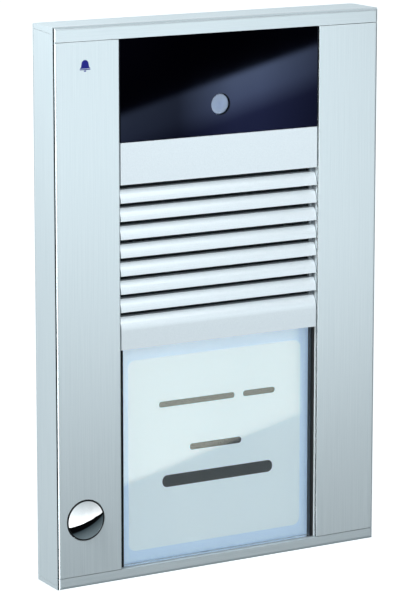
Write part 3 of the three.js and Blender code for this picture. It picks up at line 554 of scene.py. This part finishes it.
def rounded_rect(x0, x1, z0, z1, radius, steps=10):
    return [
        *arc(x1 - radius, z0 + radius, radius, -90, 0, steps),
        *arc(x1 - radius, z1 - radius, radius, 0, 90, steps),
        *arc(x0 + radius, z1 - radius, radius, 90, 180, steps),
        *arc(x0 + radius, z0 + radius, radius, 180, 270, steps),
    ]


def bridge(mesh, first, second):
    """Faces between two rings of vertices; a ring of one vertex is a pole."""
    count = max(len(first), len(second))
    for i in range(count):
        j = (i + 1) % count
        if len(first) == 1:
            mesh.faces.new((first[0], second[i], second[j]))
        elif len(second) == 1:
            mesh.faces.new((first[i], first[j], second[0]))
        else:
            mesh.faces.new((first[i], first[j], second[j], second[i]))


def turned(mesh, profile, x, z, steps=ROUND_STEPS):
    """Turns (radius, y) points about the line along Y at (x, z).

    The profile runs from the line back to it, or closes on itself.
    """
    rings = []
    for radius, y in profile:
        if radius < 1e-7:
            rings.append([mesh.verts.new((x, y, z))])
            continue
        turns = [2 * math.pi * i / steps for i in range(steps)]
        spots = [(x + radius * math.cos(t), y, z + radius * math.sin(t)) for t in turns]
        rings.append([mesh.verts.new(spot) for spot in spots])
    pairs = list(zip(rings, rings[1:]))
    if len(rings[0]) > 1:
        pairs.append((rings[-1], rings[0]))
    for first, second in pairs:
        bridge(mesh, first, second)
    return mesh


def slab(mesh, outline, y0, y1):
    """Closed plate of an outline in (x, z) between two y."""
    front = [mesh.verts.new((x, y0, z)) for x, z in outline]
    rear = [mesh.verts.new((x, y1, z)) for x, z in outline]
    bridge(mesh, front, rear)
    mesh.faces.new(front)
    mesh.faces.new(rear[::-1])
    return mesh


def pillow(mesh, outline, y0, y1, crown):
    """Closed plate whose front edge is drawn in by crown, as printed ink or a laid card is."""
    low = Vector((min(x for x, _ in outline), min(z for _, z in outline)))
    high = Vector((max(x for x, _ in outline), max(z for _, z in outline)))
    middle, half = (low + high) / 2, (high - low) / 2
    inset = [
        (middle.x + (x - middle.x) * (1 - crown / half.x), middle.y + (z - middle.y) * (1 - crown / half.y))
        for x, z in outline
    ]
    rows = [
        [mesh.verts.new((x, y, z)) for x, z in points]
        for points, y in ((inset, y0), (outline, y0 + crown), (outline, y1))
    ]
    bridge(mesh, rows[0], rows[1])
    bridge(mesh, rows[1], rows[2])
    mesh.faces.new(rows[0])
    mesh.faces.new(rows[2][::-1])
    return mesh


def round_tube(mesh, points, radius, sides=10):
    """Closed round tube along points."""
    rings = []
    for i, point in enumerate(points):
        along = (points[min(i + 1, len(points) - 1)] - points[max(i - 1, 0)]).normalized()
        across = along.cross(Vector((0, 1, 0))).normalized()
        over = along.cross(across)
        turns = [2 * math.pi * k / sides for k in range(sides)]
        spokes = [math.cos(t) * across + math.sin(t) * over for t in turns]
        rings.append([mesh.verts.new(point + radius * spoke) for spoke in spokes])
    for first, second in zip(rings, rings[1:]):
        bridge(mesh, first, second)
    mesh.faces.new(rings[0])
    mesh.faces.new(rings[-1][::-1])
    return mesh


# ---------------------------------------------------------------- camera and studio

def aim(thing, target):
    thing.rotation_euler = (Vector(target) - thing.location).to_track_quat("-Z", "Y").to_euler()


def make_camera():
    camera = bpy.data.objects.new("camera", bpy.data.cameras.new("camera"))
    camera.data.lens = 172.0
    camera.data.sensor_width = 36.0
    camera.data.shift_y = -0.15
    camera.data.clip_start = 0.05
    camera.data.clip_end = 50.0
    camera.location = (-0.5343, -0.9433, 0.2237)
    camera.rotation_euler = (math.radians(79.86), 0.0, math.radians(-29.64))
    bpy.context.scene.collection.objects.link(camera)
    bpy.context.scene.camera = camera


def lit_only(light, receivers):
    """The light falls on these objects alone."""
    group = bpy.data.collections.new(light.name + "_receivers")
    for receiver in receivers:
        group.objects.link(receiver)
    light.light_linking.receiver_collection = group


def card(name, lower, upper, stops, receivers, right_share=1.0):
    """Studio reflector: a glowing sheet seen only in its receivers' reflections.

    lower and upper are the points of its two long edges, from left to right. stops are
    (height, strength, colour), and the glow falls to right_share of them at the right edge.
    """
    last = len(lower) - 1
    data = bpy.data.meshes.new(name)
    data.from_pydata(
        [Vector(point) for point in (*lower, *upper)], [],
        [(i, i + 1, last + i + 2, last + i + 1) for i in range(last)],
    )
    across = data.uv_layers.new(name="height")
    for i, face in enumerate(data.polygons):
        shares = ((i, 0), (i + 1, 0), (i + 1, 1), (i, 1))
        for loop, (along, height) in zip(face.loop_indices, shares):
            across.data[loop].uv = (along / last, height)
    reflector = bpy.data.objects.new(name, data)
    made = bpy.data.materials.new(name)
    made.use_nodes = True
    tree = made.node_tree
    tree.nodes.clear()
    where = add_node(tree, "ShaderNodeSeparateXYZ", {0: add_node(tree, "ShaderNodeTexCoord").outputs["UV"]})
    top = max(strength for _, strength, _ in stops)
    glow = ramp(tree, where.outputs[1], [
        (at, (*(strength / top * c for c in colour(code)[:3]), 1.0)) for at, strength, code in stops
    ])
    strength = maths(tree, "MULTIPLY", spread(tree, where.outputs[0], 1.0, right_share), top)
    light = add_node(tree, "ShaderNodeEmission", {"Color": glow, "Strength": strength})
    add_node(tree, "ShaderNodeOutputMaterial", {"Surface": light.outputs[0]})
    data.materials.append(made)
    bpy.context.scene.collection.objects.link(reflector)
    reflector.visible_camera = False
    reflector.visible_shadow = False
    reflector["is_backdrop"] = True
    lit_only(reflector, receivers)
    return reflector


def softbox(name, location, target, width, height, watts, shade="#ffffff", receivers=None):
    """Rectangular area light aimed at a point."""
    data = bpy.data.lights.new(name, "AREA")
    data.shape = "RECTANGLE"
    data.size = width
    data.size_y = height
    data.energy = watts
    data.color = colour(shade)[:3]
    light = bpy.data.objects.new(name, data)
    light.location = location
    light.visible_camera = False
    aim(light, target)
    bpy.context.scene.collection.objects.link(light)
    if receivers:
        lit_only(light, receivers)
    return light


def graded_softbox(name, corner, along, up, rise, sides, receivers):
    """Area light for reflections, from its lower left corner. up is made square to along.

    rise holds stops (height, radiance, colour), sides holds stops (x, share of the radiance).
    """
    corner, along = Vector(corner), Vector(along)
    up = Vector(up) - Vector(up).project(along)
    middle = corner + (along + up) / 2
    light = softbox(name, middle, middle, along.length, up.length, math.pi * along.length * up.length,
                    receivers=receivers)
    facing = Matrix((along.normalized(), up.normalized(), along.cross(up).normalized())).transposed()
    light.rotation_euler = facing.to_euler()
    light.data.use_nodes = True
    tree = light.data.node_tree
    emission = tree.nodes["Emission"]
    surface = add_node(tree, "ShaderNodeNewGeometry").outputs
    height = add_node(tree, "ShaderNodeSeparateXYZ", {0: surface["Parametric"]}).outputs[1]
    x = add_node(tree, "ShaderNodeSeparateXYZ", {0: surface["Position"]}).outputs[0]
    top = max(radiance for _, radiance, _ in rise)
    glow = ramp(tree, height, [
        (at, (*(radiance / top * c for c in colour(code)[:3]), 1.0)) for at, radiance, code in rise
    ])
    left, right = sides[0][0], sides[-1][0]
    share = ramp(tree, spread(tree, x, 0.0, 1.0, start=left, end=right), [
        ((at - left) / (right - left), (value, value, value, 1.0)) for at, value in sides
    ])
    tree.links.new(glow, emission.inputs["Color"])
    tree.links.new(maths(tree, "MULTIPLY", share, top), emission.inputs["Strength"])
    return light


GROUND_TILT = (-0.46, -0.14, 1.0)     # up from the studio's ground, which rises to the right


def make_world():
    """White behind the object. Around it a studio that is dark in front and at the left.

    Below, a black band lies over a grey ground. The chrome dome shows both.
    """
    world = bpy.data.worlds.new("studio")
    bpy.context.scene.world = world
    world.use_nodes = True
    tree = world.node_tree
    tree.nodes.clear()
    direction = add_node(tree, "ShaderNodeTexCoord").outputs["Generated"]
    x, y, z = add_node(tree, "ShaderNodeSeparateXYZ", {0: direction}).outputs
    level = ramp(tree, spread(tree, y, 0.0, 1.0, -1.0, 1.0), [
        (0.0, colour("#08090b")), (0.14, colour("#0a0b0e")), (0.19, colour("#3e494e")),
        (0.45, colour("#7f8a8f")), (0.65, colour("#ccd6da")), (1.0, colour("#d6dfe3")),
    ])
    left_flag = spread(tree, x, 0.15, 1.0, start=-0.85, end=-0.7)
    flagged = blend_colour(tree, left_flag, (0, 0, 0, 1), level)
    down = add_node(tree, "ShaderNodeVectorMath", {0: direction, 1: GROUND_TILT}, operation="DOT_PRODUCT")
    ground = ramp(tree, spread(tree, down.outputs["Value"], 0.0, 1.0, start=-0.6, end=-1.05), [
        (0.0, colour("#08090b")), (0.09, colour("#3a464c")),
        (0.45, colour("#5a666b")), (1.0, colour("#76848a")),
    ])
    below = maths(tree, "MULTIPLY", spread(tree, z, 0.0, 1.0, start=-0.02, end=-0.1),
                  spread(tree, y, 1.0, 0.0, start=0.1, end=0.4))
    around_it = blend_colour(tree, below, flagged, ground)
    overhead = spread(tree, z, 0.0, 1.0, 0.25, 0.6)
    studio = blend_colour(tree, overhead, around_it, colour("#e6eef2"))
    seen = add_node(tree, "ShaderNodeLightPath").outputs["Is Camera Ray"]
    around = add_node(tree, "ShaderNodeBackground", {"Color": studio, "Strength": 1.0})
    behind = add_node(tree, "ShaderNodeBackground", {"Color": (1, 1, 1, 1), "Strength": 1.0})
    mixed = add_node(tree, "ShaderNodeMixShader", {0: seen, 1: around.outputs[0], 2: behind.outputs[0]})
    add_node(tree, "ShaderNodeOutputWorld", {"Surface": mixed.outputs[0]})


FLOOR_Z = -0.45
FLOOR_RADIUS = 8.0


def make_floor():
    """Plain pale floor, well below the hanging panel."""
    mesh = bmesh.new()
    bmesh.ops.create_circle(mesh, cap_ends=True, radius=FLOOR_RADIUS, segments=64)
    data = bpy.data.meshes.new("floor")
    mesh.to_mesh(data)
    mesh.free()
    floor = bpy.data.objects.new("floor", data)
    floor.location.z = FLOOR_Z
    made, tree, shader = new_material("pale_floor", Roughness=0.9, Emission_Strength=0.45)
    grain = noise(tree, place(tree), 40.0)
    shade = ramp(tree, grain, [(0.3, colour("#f6f7f8")), (0.7, colour("#fafbfb"))])
    tree.links.new(shade, shader.inputs["Base Color"])
    shader.inputs["Emission Color"].default_value = (1, 1, 1, 1)
    data.materials.append(made)
    bpy.context.scene.collection.objects.link(floor)
    floor.visible_glossy = False
    floor.visible_diffuse = False
    floor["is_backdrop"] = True


make_camera()
make_world()
make_floor()


# ---------------------------------------------------------------- housing, from the CAD

EDGE_OF = {               # bevel widths of the CAD pieces that stay, by node
    "left_rail": 0.2 * MM,
    "right_rail": 0.2 * MM,
    "top_cap": 0.3 * MM,
    "bottom_cap": 0.3 * MM,
    "louvre_grille": 0.2 * MM,
    "camera_glass": 0.12 * MM,
    "name_window": 0.25 * MM,
    "wall_plate": 0.2 * MM,
    "cable_grommet": 0.3 * MM,
}
FINISH_OF = {             # finishes that differ from the slot's own
    "top_cap": "anodised_across",
    "bottom_cap": "anodised_across",
    "light_guide": "light_guide",
}


def finish_cad_piece(name):
    piece = NODES[name]
    paint(piece, MATERIALS[FINISH_OF.get(name, SLOT_OF[name])])
    soften(piece, EDGE_OF.get(name, 0.1 * MM))


# ---------------------------------------------------------------- bell push

BELL_CENTRE = centre_of("bell_button")
BELL_APEX = front_of("bell_button")
BELL_RIM = BELL_APEX + 2.0 * MM
BELL_FLANGE = size_of("bell_button").x / 2
RING_RADIUS = BELL_FLANGE - 0.6 * MM
DOME_RADIUS = RING_RADIUS - 0.4 * MM
FLANGE_FRONT = BELL_APEX + 4.4 * MM
STEM_RADIUS = 2.4 * MM


def make_bell_button():
    """Polished dome with a retaining flange and a stepped stem."""
    crown = BELL_RIM - BELL_APEX
    sphere = (DOME_RADIUS ** 2 + crown ** 2) / (2 * crown)
    edge = math.degrees(math.asin(DOME_RADIUS / sphere))
    face = [(x, BELL_APEX + sphere - y) for x, y in arc(0, 0, sphere, 90, 90 - edge, 30)]
    face[0] = (0.0, face[0][1])
    flange_rear = FLANGE_FRONT + 0.6 * MM
    end = rear_of("bell_button")
    mesh = turned(bmesh.new(), [
        *face, (DOME_RADIUS, FLANGE_FRONT), (BELL_FLANGE - 0.1 * MM, FLANGE_FRONT),
        (BELL_FLANGE, FLANGE_FRONT + 0.1 * MM), (BELL_FLANGE, flange_rear - 0.1 * MM),
        (BELL_FLANGE - 0.1 * MM, flange_rear), (STEM_RADIUS, flange_rear),
        (STEM_RADIUS, end - 1.4 * MM), (STEM_RADIUS - 0.2 * MM, end - 1.2 * MM),
        (1.2 * MM, end - 1.2 * MM), (1.2 * MM, end - 0.2 * MM), (1.0 * MM, end), (0.0, end),
    ], BELL_CENTRE.x, BELL_CENTRE.z, steps=128)
    return soften(new_piece("bell_dome", mesh, "bell", "chrome", replaced=["bell_button"]))


def make_bell_shadow_ring():
    """Black ring round the dome: painted shade for the shadow gap between the dome and its hole."""
    # painted shade: a thin black ring fills the gap round the dome, where shadow falls
    front, rear = BELL_RIM - 0.05 * MM, FLANGE_FRONT - 0.02 * MM
    inner = DOME_RADIUS + 0.02 * MM
    mesh = turned(bmesh.new(), [
        (inner, front + 0.05 * MM), (inner + 0.05 * MM, front), (RING_RADIUS - 0.1 * MM, front),
        (RING_RADIUS, front + 0.1 * MM), (RING_RADIUS, rear), (inner, rear),
    ], BELL_CENTRE.x, BELL_CENTRE.z, steps=128)
    return soften(new_piece("bell_shadow_ring", mesh, "bell", "black_plastic"))


def make_return_spring():
    """Helical wire with closed ends."""
    low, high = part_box("button_spring")
    middle = centre_of("button_spring")
    wire = 0.25 * MM
    coil = (high[0] - low[0]) / 2 - wire
    turns = 3.0
    count = int(turns * 40)
    start, end = low[1] + wire, high[1] - wire
    points = []
    for i in range(count + 1):
        share = i / count
        settled = min(max((share - 0.12) / 0.76, 0.0), 1.0)
        angle = 2 * math.pi * turns * share
        points.append(Vector((
            middle.x + coil * math.cos(angle),
            start + (end - start) * settled,
            middle.z + coil * math.sin(angle),
        )))
    mesh = round_tube(bmesh.new(), points, wire)
    spring = new_piece("return_spring", mesh, "housing", "screw_steel", replaced=["button_spring"])
    soften(spring)
    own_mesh(spring)
    return spring


# ---------------------------------------------------------------- camera optics

LENS_CENTRE = centre_of("lens_window")


def make_lens_window():
    """Coated window with a slightly crowned face and a bonding flange."""
    front, rear = front_of("lens_window"), rear_of("lens_window")
    flange = size_of("lens_window").x / 2
    radius = flange - 1.45 * MM
    step = rear - 1.0 * MM
    crown = 0.25 * MM
    face = [(radius * 0.94 * i / 12, front + crown * (i / 12) ** 2) for i in range(13)]
    mesh = turned(bmesh.new(), [
        *face, (radius, front + 2 * crown), (radius, step), (flange - 0.1 * MM, step),
        (flange, step + 0.1 * MM), (flange, rear), (0.0, rear),
    ], LENS_CENTRE.x, LENS_CENTRE.z)
    return soften(new_piece("front_lens", mesh, "housing", "lens_clear", replaced=["lens_window"]))


def make_lens_barrel():
    """Threaded focus barrel with a plain front ring."""
    low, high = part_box("lens_barrel")
    centre = centre_of("lens_barrel")
    outer = size_of("lens_barrel").x / 2
    bore, thread = 2.7 * MM, outer - 0.4 * MM
    front, rear = low[1], high[1]
    ring_rear = front + 1.0 * MM
    pitch = 0.3 * MM
    count = int((rear - 0.1 * MM - ring_rear) / pitch)
    profile = [(bore + 0.1 * MM, front), (outer - 0.15 * MM, front), (outer, front + 0.15 * MM),
               (outer, ring_rear - 0.1 * MM), (outer - 0.1 * MM, ring_rear)]
    for turn in range(count):
        y = ring_rear + pitch * turn
        profile += [(thread - 0.12 * MM, y + 0.05 * MM), (thread, y + pitch * 0.5)]
    profile += [(thread - 0.12 * MM, rear), (bore, rear), (bore, front + 0.1 * MM)]
    mesh = turned(bmesh.new(), profile, centre.x, centre.z)
    barrel = new_piece("focus_barrel", mesh, "camera_unit", "black_plastic", replaced=["lens_barrel"])
    return soften(barrel)


def make_lens_element():
    low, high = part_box("lens_element")
    centre = centre_of("lens_element")
    radius = size_of("lens_element").x / 2
    sag = 0.7 * MM
    sphere = (radius ** 2 + sag ** 2) / (2 * sag)
    face = []
    for i in range(17):
        r = radius * i / 16
        face.append((r, low[1] + sphere - math.sqrt(sphere ** 2 - r ** 2)))
    mesh = turned(bmesh.new(), [*face, (radius, high[1]), (0.0, high[1])], centre.x, centre.z)
    return soften(new_piece("inner_lens", mesh, "camera_unit", "lens_coated", replaced=["lens_element"]))


# ---------------------------------------------------------------- loudspeaker

SPEAKER_CENTRE = centre_of("speaker_basket")


def make_speaker_cone():
    """Curved cone with pressed rings and a domed dust cap."""
    low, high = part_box("speaker_cone")
    rim = size_of("speaker_cone").x / 2
    skin = 0.5 * MM
    cap_radius, cap_rise = 7.0 * MM, low[1]
    neck_y, rim_y = high[1] - 1.1 * MM, high[1] - 5.2 * MM
    cap_sphere = 6.0 * MM
    cap = [
        (cap_sphere * math.sin(t), cap_rise + cap_sphere * (1 - math.cos(t)))
        for t in (math.radians(58) * i / 12 for i in range(13))
    ]
    front, rear = [], []
    for i in range(25):
        share = i / 24
        r = cap_radius + (rim - cap_radius) * share
        y = neck_y + (rim_y - neck_y) * share ** 0.92
        y += 0.12 * MM * math.sin(share * 6 * math.pi) * math.sin(share * math.pi)
        front.append((r, y))
        rear.append((r, y + skin))
    mesh = turned(bmesh.new(), [*cap, *front, *rear[::-1], (0.0, rear[0][1])],
                  SPEAKER_CENTRE.x, SPEAKER_CENTRE.z)
    return soften(new_piece("paper_cone", mesh, "housing", "cone_paper", replaced=["speaker_cone"]))


def make_speaker_surround():
    """Half-round rubber roll."""
    rear = rear_of("speaker_surround")
    outer = size_of("speaker_surround").x / 2
    roll = 0.9 * MM
    middle = outer - roll
    mesh = turned(bmesh.new(), [
        *arc(middle, rear, roll, 180, 360, 16),
        *arc(middle, rear, roll - 0.3 * MM, 0, -180, 16),
    ], SPEAKER_CENTRE.x, SPEAKER_CENTRE.z)
    return soften(new_piece("rubber_roll", mesh, "housing", "rubber", replaced=["speaker_surround"]))


def make_speaker_magnet():
    """Ring magnet between its plates, each a step smaller."""
    low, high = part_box("speaker_magnet")
    outer = size_of("speaker_magnet").x / 2
    front, rear = low[1], high[1]
    chamfer = 0.25 * MM
    plate = 0.9 * MM
    inner = outer - 0.7 * MM
    mesh = turned(bmesh.new(), [
        (0.0, front), (inner - chamfer, front), (inner, front + chamfer), (inner, front + plate),
        (outer - chamfer, front + plate), (outer, front + plate + chamfer),
        (outer, rear - plate - chamfer), (outer - chamfer, rear - plate),
        (inner, rear - plate), (inner, rear - chamfer), (inner - chamfer, rear),
        (3.2 * MM, rear), (3.0 * MM, rear - 0.3 * MM), (0.0, rear - 0.3 * MM),
    ], SPEAKER_CENTRE.x, SPEAKER_CENTRE.z)
    return soften(new_piece("ring_magnet", mesh, "housing", "speaker_metal", replaced=["speaker_magnet"]))


# ---------------------------------------------------------------- acoustic cloth

def make_cloth():
    """Stretched woven cloth, with cut-outs over the two speaker bosses."""
    low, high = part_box("acoustic_cloth")
    boss_radius = 2.7 * MM
    bosses = [centre_of(node).x for node in ("speaker_screw_left", "speaker_screw_right")]
    boss_z = centre_of("speaker_screw_left").z
    step = 1.0 * MM
    columns = round((high[0] - low[0]) / step)
    rows = round((high[2] - low[2]) / step)
    thick = 0.2 * MM
    middle = (low[1] + high[1]) / 2
    mesh = bmesh.new()
    corners = {}
    for i in range(columns + 1):
        for k in range(rows + 1):
            x = low[0] + (high[0] - low[0]) * i / columns
            z = low[2] + (high[2] - low[2]) * k / rows
            wave = 0.05 * MM * math.sin(k * 0.9) * math.sin(i * 0.7)
            corners[i, k] = mesh.verts.new((x, middle - thick / 2 + wave, z))
    for i in range(columns):
        for k in range(rows):
            cell = [corners[i, k], corners[i + 1, k], corners[i + 1, k + 1], corners[i, k + 1]]
            away = min(math.hypot(v.co.x - x, v.co.z - boss_z) for v in cell for x in bosses)
            if away > boss_radius:
                mesh.faces.new(cell)
    loose = [v for v in mesh.verts if not v.link_faces]
    bmesh.ops.delete(mesh, geom=loose, context="VERTS")
    made = bmesh.ops.extrude_face_region(mesh, geom=mesh.faces[:])
    for element in made["geom"]:
        if isinstance(element, bmesh.types.BMVert):
            element.co.y += thick
    cloth = new_piece("speaker_cloth", mesh, "housing", "acoustic_cloth", replaced=["acoustic_cloth"])
    soften(cloth)
    return cloth


# ---------------------------------------------------------------- name plate and marks

LABEL_LOW, LABEL_HIGH = (Vector(corner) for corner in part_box("name_label"))
INK = 0.05 * MM


def make_label():
    """Card with round corners and a softly cut front edge."""
    outline = rounded_rect(LABEL_LOW.x, LABEL_HIGH.x, LABEL_LOW.z, LABEL_HIGH.z, 3 * MM)
    mesh = pillow(bmesh.new(), outline, LABEL_LOW.y + INK, LABEL_HIGH.y, 0.06 * MM)
    return soften(new_piece("printed_card", mesh, "housing", "label_card", replaced=["name_label"]))


def word_bar(mesh, x0, x1, z, height, front, rear):
    """A plain bar with round ends, in place of one printed word."""
    slab(mesh, rounded_rect(x0, x1, z - height / 2, z + height / 2, height * 0.45, steps=6), front, rear)


def make_print():
    """Three printed lines as plain bars, with no lettering."""
    middle = (LABEL_LOW.z + LABEL_HIGH.z) / 2
    lines = [                       # height above the middle of the card, bar height, word ends
        (18.7 * MM, 2.3 * MM, ((-24.8, 8.4), (12.2, 26.4))),
        (0.6 * MM, 2.5 * MM, ((-11.4, 11.4),)),
        (-11.6 * MM, 4.7 * MM, ((-23.4, 25.4),)),
    ]
    mesh = bmesh.new()
    for above, height, words in lines:
        for start, end in words:
            word_bar(mesh, start * MM, end * MM, middle + above, height, LABEL_LOW.y, LABEL_LOW.y + INK)
    return new_piece("printed_lines", mesh, "housing", "label_card", material="label_ink")


def make_mark():
    """Small bell pictogram near the top of the left rail: body, rim and clapper."""
    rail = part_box("left_rail")[0]
    x = rail[0] + 12.6 * MM
    z = centre_of("camera_glass").z + 10.3 * MM
    front = rail[1] - INK
    width, height = 4.4 * MM, 4.6 * MM
    body = [
        (-0.50, -0.22), (-0.38, -0.10), (-0.33, 0.14),
        *arc(0, 0.14, 0.33, 180, 0, 12)[1:-1],
        (0.33, 0.14), (0.38, -0.10), (0.50, -0.22),
    ]
    mesh = bmesh.new()
    slab(mesh, [(x + u * width, z + v * height) for u, v in body], front, rail[1])
    slab(mesh, rounded_rect(x - 0.5 * width, x + 0.5 * width, z - 0.33 * height, z - 0.26 * height,
                            0.03 * height, steps=4), front, rail[1])
    clapper = [(x + u, z - 0.37 * height + v) for u, v in arc(0, 0, 0.11 * height, 180, 360, 12)]
    slab(mesh, clapper, front, rail[1])
    return new_piece("bell_mark", mesh, "housing", "anodised_aluminium", material="mark_ink")


# ---------------------------------------------------------------- electronics

def make_capacitor(node, name):
    """Aluminium can: a crimped groove, a sunk top and its square foot."""
    low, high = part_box(node)
    centre = centre_of(node)
    can = size_of(node).x / 2 - 0.2 * MM
    foot_rear = low[1] + 1.0 * MM
    top = high[1]
    mesh = turned(bmesh.new(), [
        (0.0, foot_rear - 0.1 * MM), (can, foot_rear - 0.1 * MM), (can, foot_rear + 0.5 * MM),
        (can - 0.3 * MM, foot_rear + 0.75 * MM), (can - 0.3 * MM, foot_rear + 0.95 * MM),
        (can, foot_rear + 1.2 * MM), (can, top - 0.4 * MM), (can - 0.12 * MM, top - 0.12 * MM),
        (can - 0.4 * MM, top), (can - 0.7 * MM, top - 0.12 * MM), (0.0, top - 0.12 * MM),
    ], centre.x, centre.z, steps=64)
    half = size_of(node).x / 2
    cut_corner = 0.8 * MM
    foot = [
        (centre.x - half, centre.z - half), (centre.x + half - cut_corner, centre.z - half),
        (centre.x + half, centre.z - half + cut_corner), (centre.x + half, centre.z + half - cut_corner),
        (centre.x + half - cut_corner, centre.z + half), (centre.x - half, centre.z + half),
    ]
    can_piece = new_piece(name, mesh, "housing", "component_metal", replaced=[node])
    base = new_piece(name + "_foot", slab(bmesh.new(), foot, low[1], foot_rear - 0.1 * MM), "housing",
                     "component_black")
    soften(base, 0.08 * MM)
    return soften(can_piece)


def make_small_parts():
    """Chip resistors and capacitors in rows on the wall side of the main board."""
    board_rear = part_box("main_board")[1][1]
    chosen = random.Random(7)
    spots = []
    for column in range(7):
        for row in range(3):
            spots.append((-18 + 6.2 * column, -46 - 4.6 * row))
    mesh = bmesh.new()
    for x, z in spots:
        upright = chosen.random() < 0.4
        half_x, half_z = (0.5, 0.9) if upright else (0.9, 0.5)
        height = 0.55 + 0.2 * chosen.random()
        outline = rounded_rect((x - half_x) * MM, (x + half_x) * MM, (z - half_z) * MM, (z + half_z) * MM,
                               0.12 * MM, steps=3)
        slab(mesh, outline, board_rear + 0.02 * MM, board_rear + height * MM)
    return soften(new_piece("chip_parts", mesh, "housing", "component_black"), 0.06 * MM)


bell = make_bell_button()
make_bell_shadow_ring()
make_return_spring()
front_lens = make_lens_window()
make_lens_barrel()
make_lens_element()
make_speaker_cone()
make_speaker_surround()
make_speaker_magnet()
make_cloth()
make_label()
make_print()
make_mark()
make_capacitor("capacitor_upper", "upper_can")
make_capacitor("capacitor_lower", "lower_can")
make_small_parts()


# ---------------------------------------------------------------- finishes of the CAD pieces that stay

for cad_name, cad_piece in NODES.items():
    if not cad_piece.hide_render:
        finish_cad_piece(cad_name)


# ---------------------------------------------------------------- lights

ANODISED = [NODES[name] for name, slot in SLOT_OF.items() if slot == "anodised_aluminium"]
SATIN = [NODES[name] for name, slot in SLOT_OF.items() if slot in ("anodised_aluminium", "satin_silver")]
ALL_BUT_BELL = [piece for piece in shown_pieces() if piece is not bell]

CARD_REACH = 3.0                # from the dome to its card
CARD_STEPS = 6
CARD_TURN = (-67, 113)          # degrees about Z from straight ahead, at the card's left and right end
CARD_TOP = 42                   # degrees above the dome
CARD_LOW = (-32, -6)            # degrees of the lower edge, left and right of its slope
CARD_SLOPE = (-45, 70)          # where the lower edge starts and ends to rise


def from_the_dome(turn, climb):
    """Point of the bell's card that is seen from the dome in this direction, in degrees."""
    turn, climb = math.radians(turn), math.radians(climb)
    ahead = Vector((math.sin(turn) * math.cos(climb), -math.cos(turn) * math.cos(climb), math.sin(climb)))
    return Vector((BELL_CENTRE.x, BELL_APEX, BELL_CENTRE.z)) + CARD_REACH * ahead


def bell_card():
    """White card in an arc round the dome, whose lower edge rises smoothly to the right."""
    left, right = CARD_TURN
    turns = [left + (right - left) * i / CARD_STEPS for i in range(CARD_STEPS + 1)]
    lower = []
    for turn in turns:
        share = (turn - CARD_SLOPE[0]) / (CARD_SLOPE[1] - CARD_SLOPE[0])
        share = min(max(share, 0.0), 1.0)
        eased = share ** 2 * (3 - 2 * share)
        lower.append(from_the_dome(turn, CARD_LOW[0] + (CARD_LOW[1] - CARD_LOW[0]) * eased))
    return card(
        "bell_card", lower=lower, upper=[from_the_dome(turn, CARD_TOP) for turn in turns],
        stops=[(0.0, 2.9, "#ffffff"), (0.2, 2.4, "#f8fbfd"), (0.5, 1.8, "#e8eef1"), (1.0, 1.3, "#d3dde1")],
        receivers=[bell], right_share=0.3,
    )


graded_softbox(           # upper part of the name window, with a sharp lower edge
    "window_light", corner=(0.050, -0.323, -0.183), along=(0.233, 0.021, 0.064), up=(0.003, -0.008, 0.110),
    rise=[(0.0, 2.6, "#ffffea"), (1.0, 2.6, "#ffffea")],
    sides=[(0.15, 1.0), (0.2155, 0.9), (0.2175, 0.0)],
    receivers=[NODES["name_window"]],
)
graded_softbox(           # blue band across the camera glass, brightest right of the middle
    "glass_light", corner=(0.022, -0.330, -0.078), along=(0.256, 0.023, 0.070), up=(0.001, -0.003, 0.075),
    rise=[(0.0, 0.8, "#8c9eff"), (0.68, 1.0, "#8c9eff"), (0.82, 3.0, "#a8c0ff"), (0.96, 3.5, "#aec7ff"),
          (1.0, 0.2, "#9cb2ff")],
    sides=[(0.115, 0.3), (0.15, 0.2), (0.18, 1.0), (0.195, 1.0), (0.23, 0.4)],
    receivers=[NODES["camera_glass"], front_lens],
)
bell_card()
softbox("key", (-0.40, -0.75, 0.50), (0, 0, 0.03), 0.5, 0.5, 6.0, "#f4fafd", ALL_BUT_BELL)
softbox("front_fill", (0.20, -0.45, 0.0), (0, -0.02, 0.0), 0.35, 0.3, 0.72, "#eef7fb", [*SATIN, front_lens])
softbox("grille_light", (0.10, -0.40, 0.30), (0, -0.02, 0.02), 0.3, 0.2, 0.85, "#f6f9fa",
        [NODES["louvre_grille"]])
softbox("edge_strip", (-0.46, -0.42, -0.10), (0, -0.02, -0.02), 0.1, 0.5, 0.7, "#f4fafd", ANODISED)
softbox("inner_strip", (-0.5, -0.06, -0.02), (0.04, -0.02, -0.02), 0.05, 0.5, 4.0, "#ffffff",
        [NODES["right_rail"]])
softbox("side_strip", (-0.32, -0.08, 0.24), (-0.07, -0.01, 0.08), 0.1, 0.2, 1.6, "#f0f8fc", ANODISED)


# ---------------------------------------------------------------- finish

bpy.context.scene.view_settings.view_transform = "Standard"
bpy.context.view_layer.update()
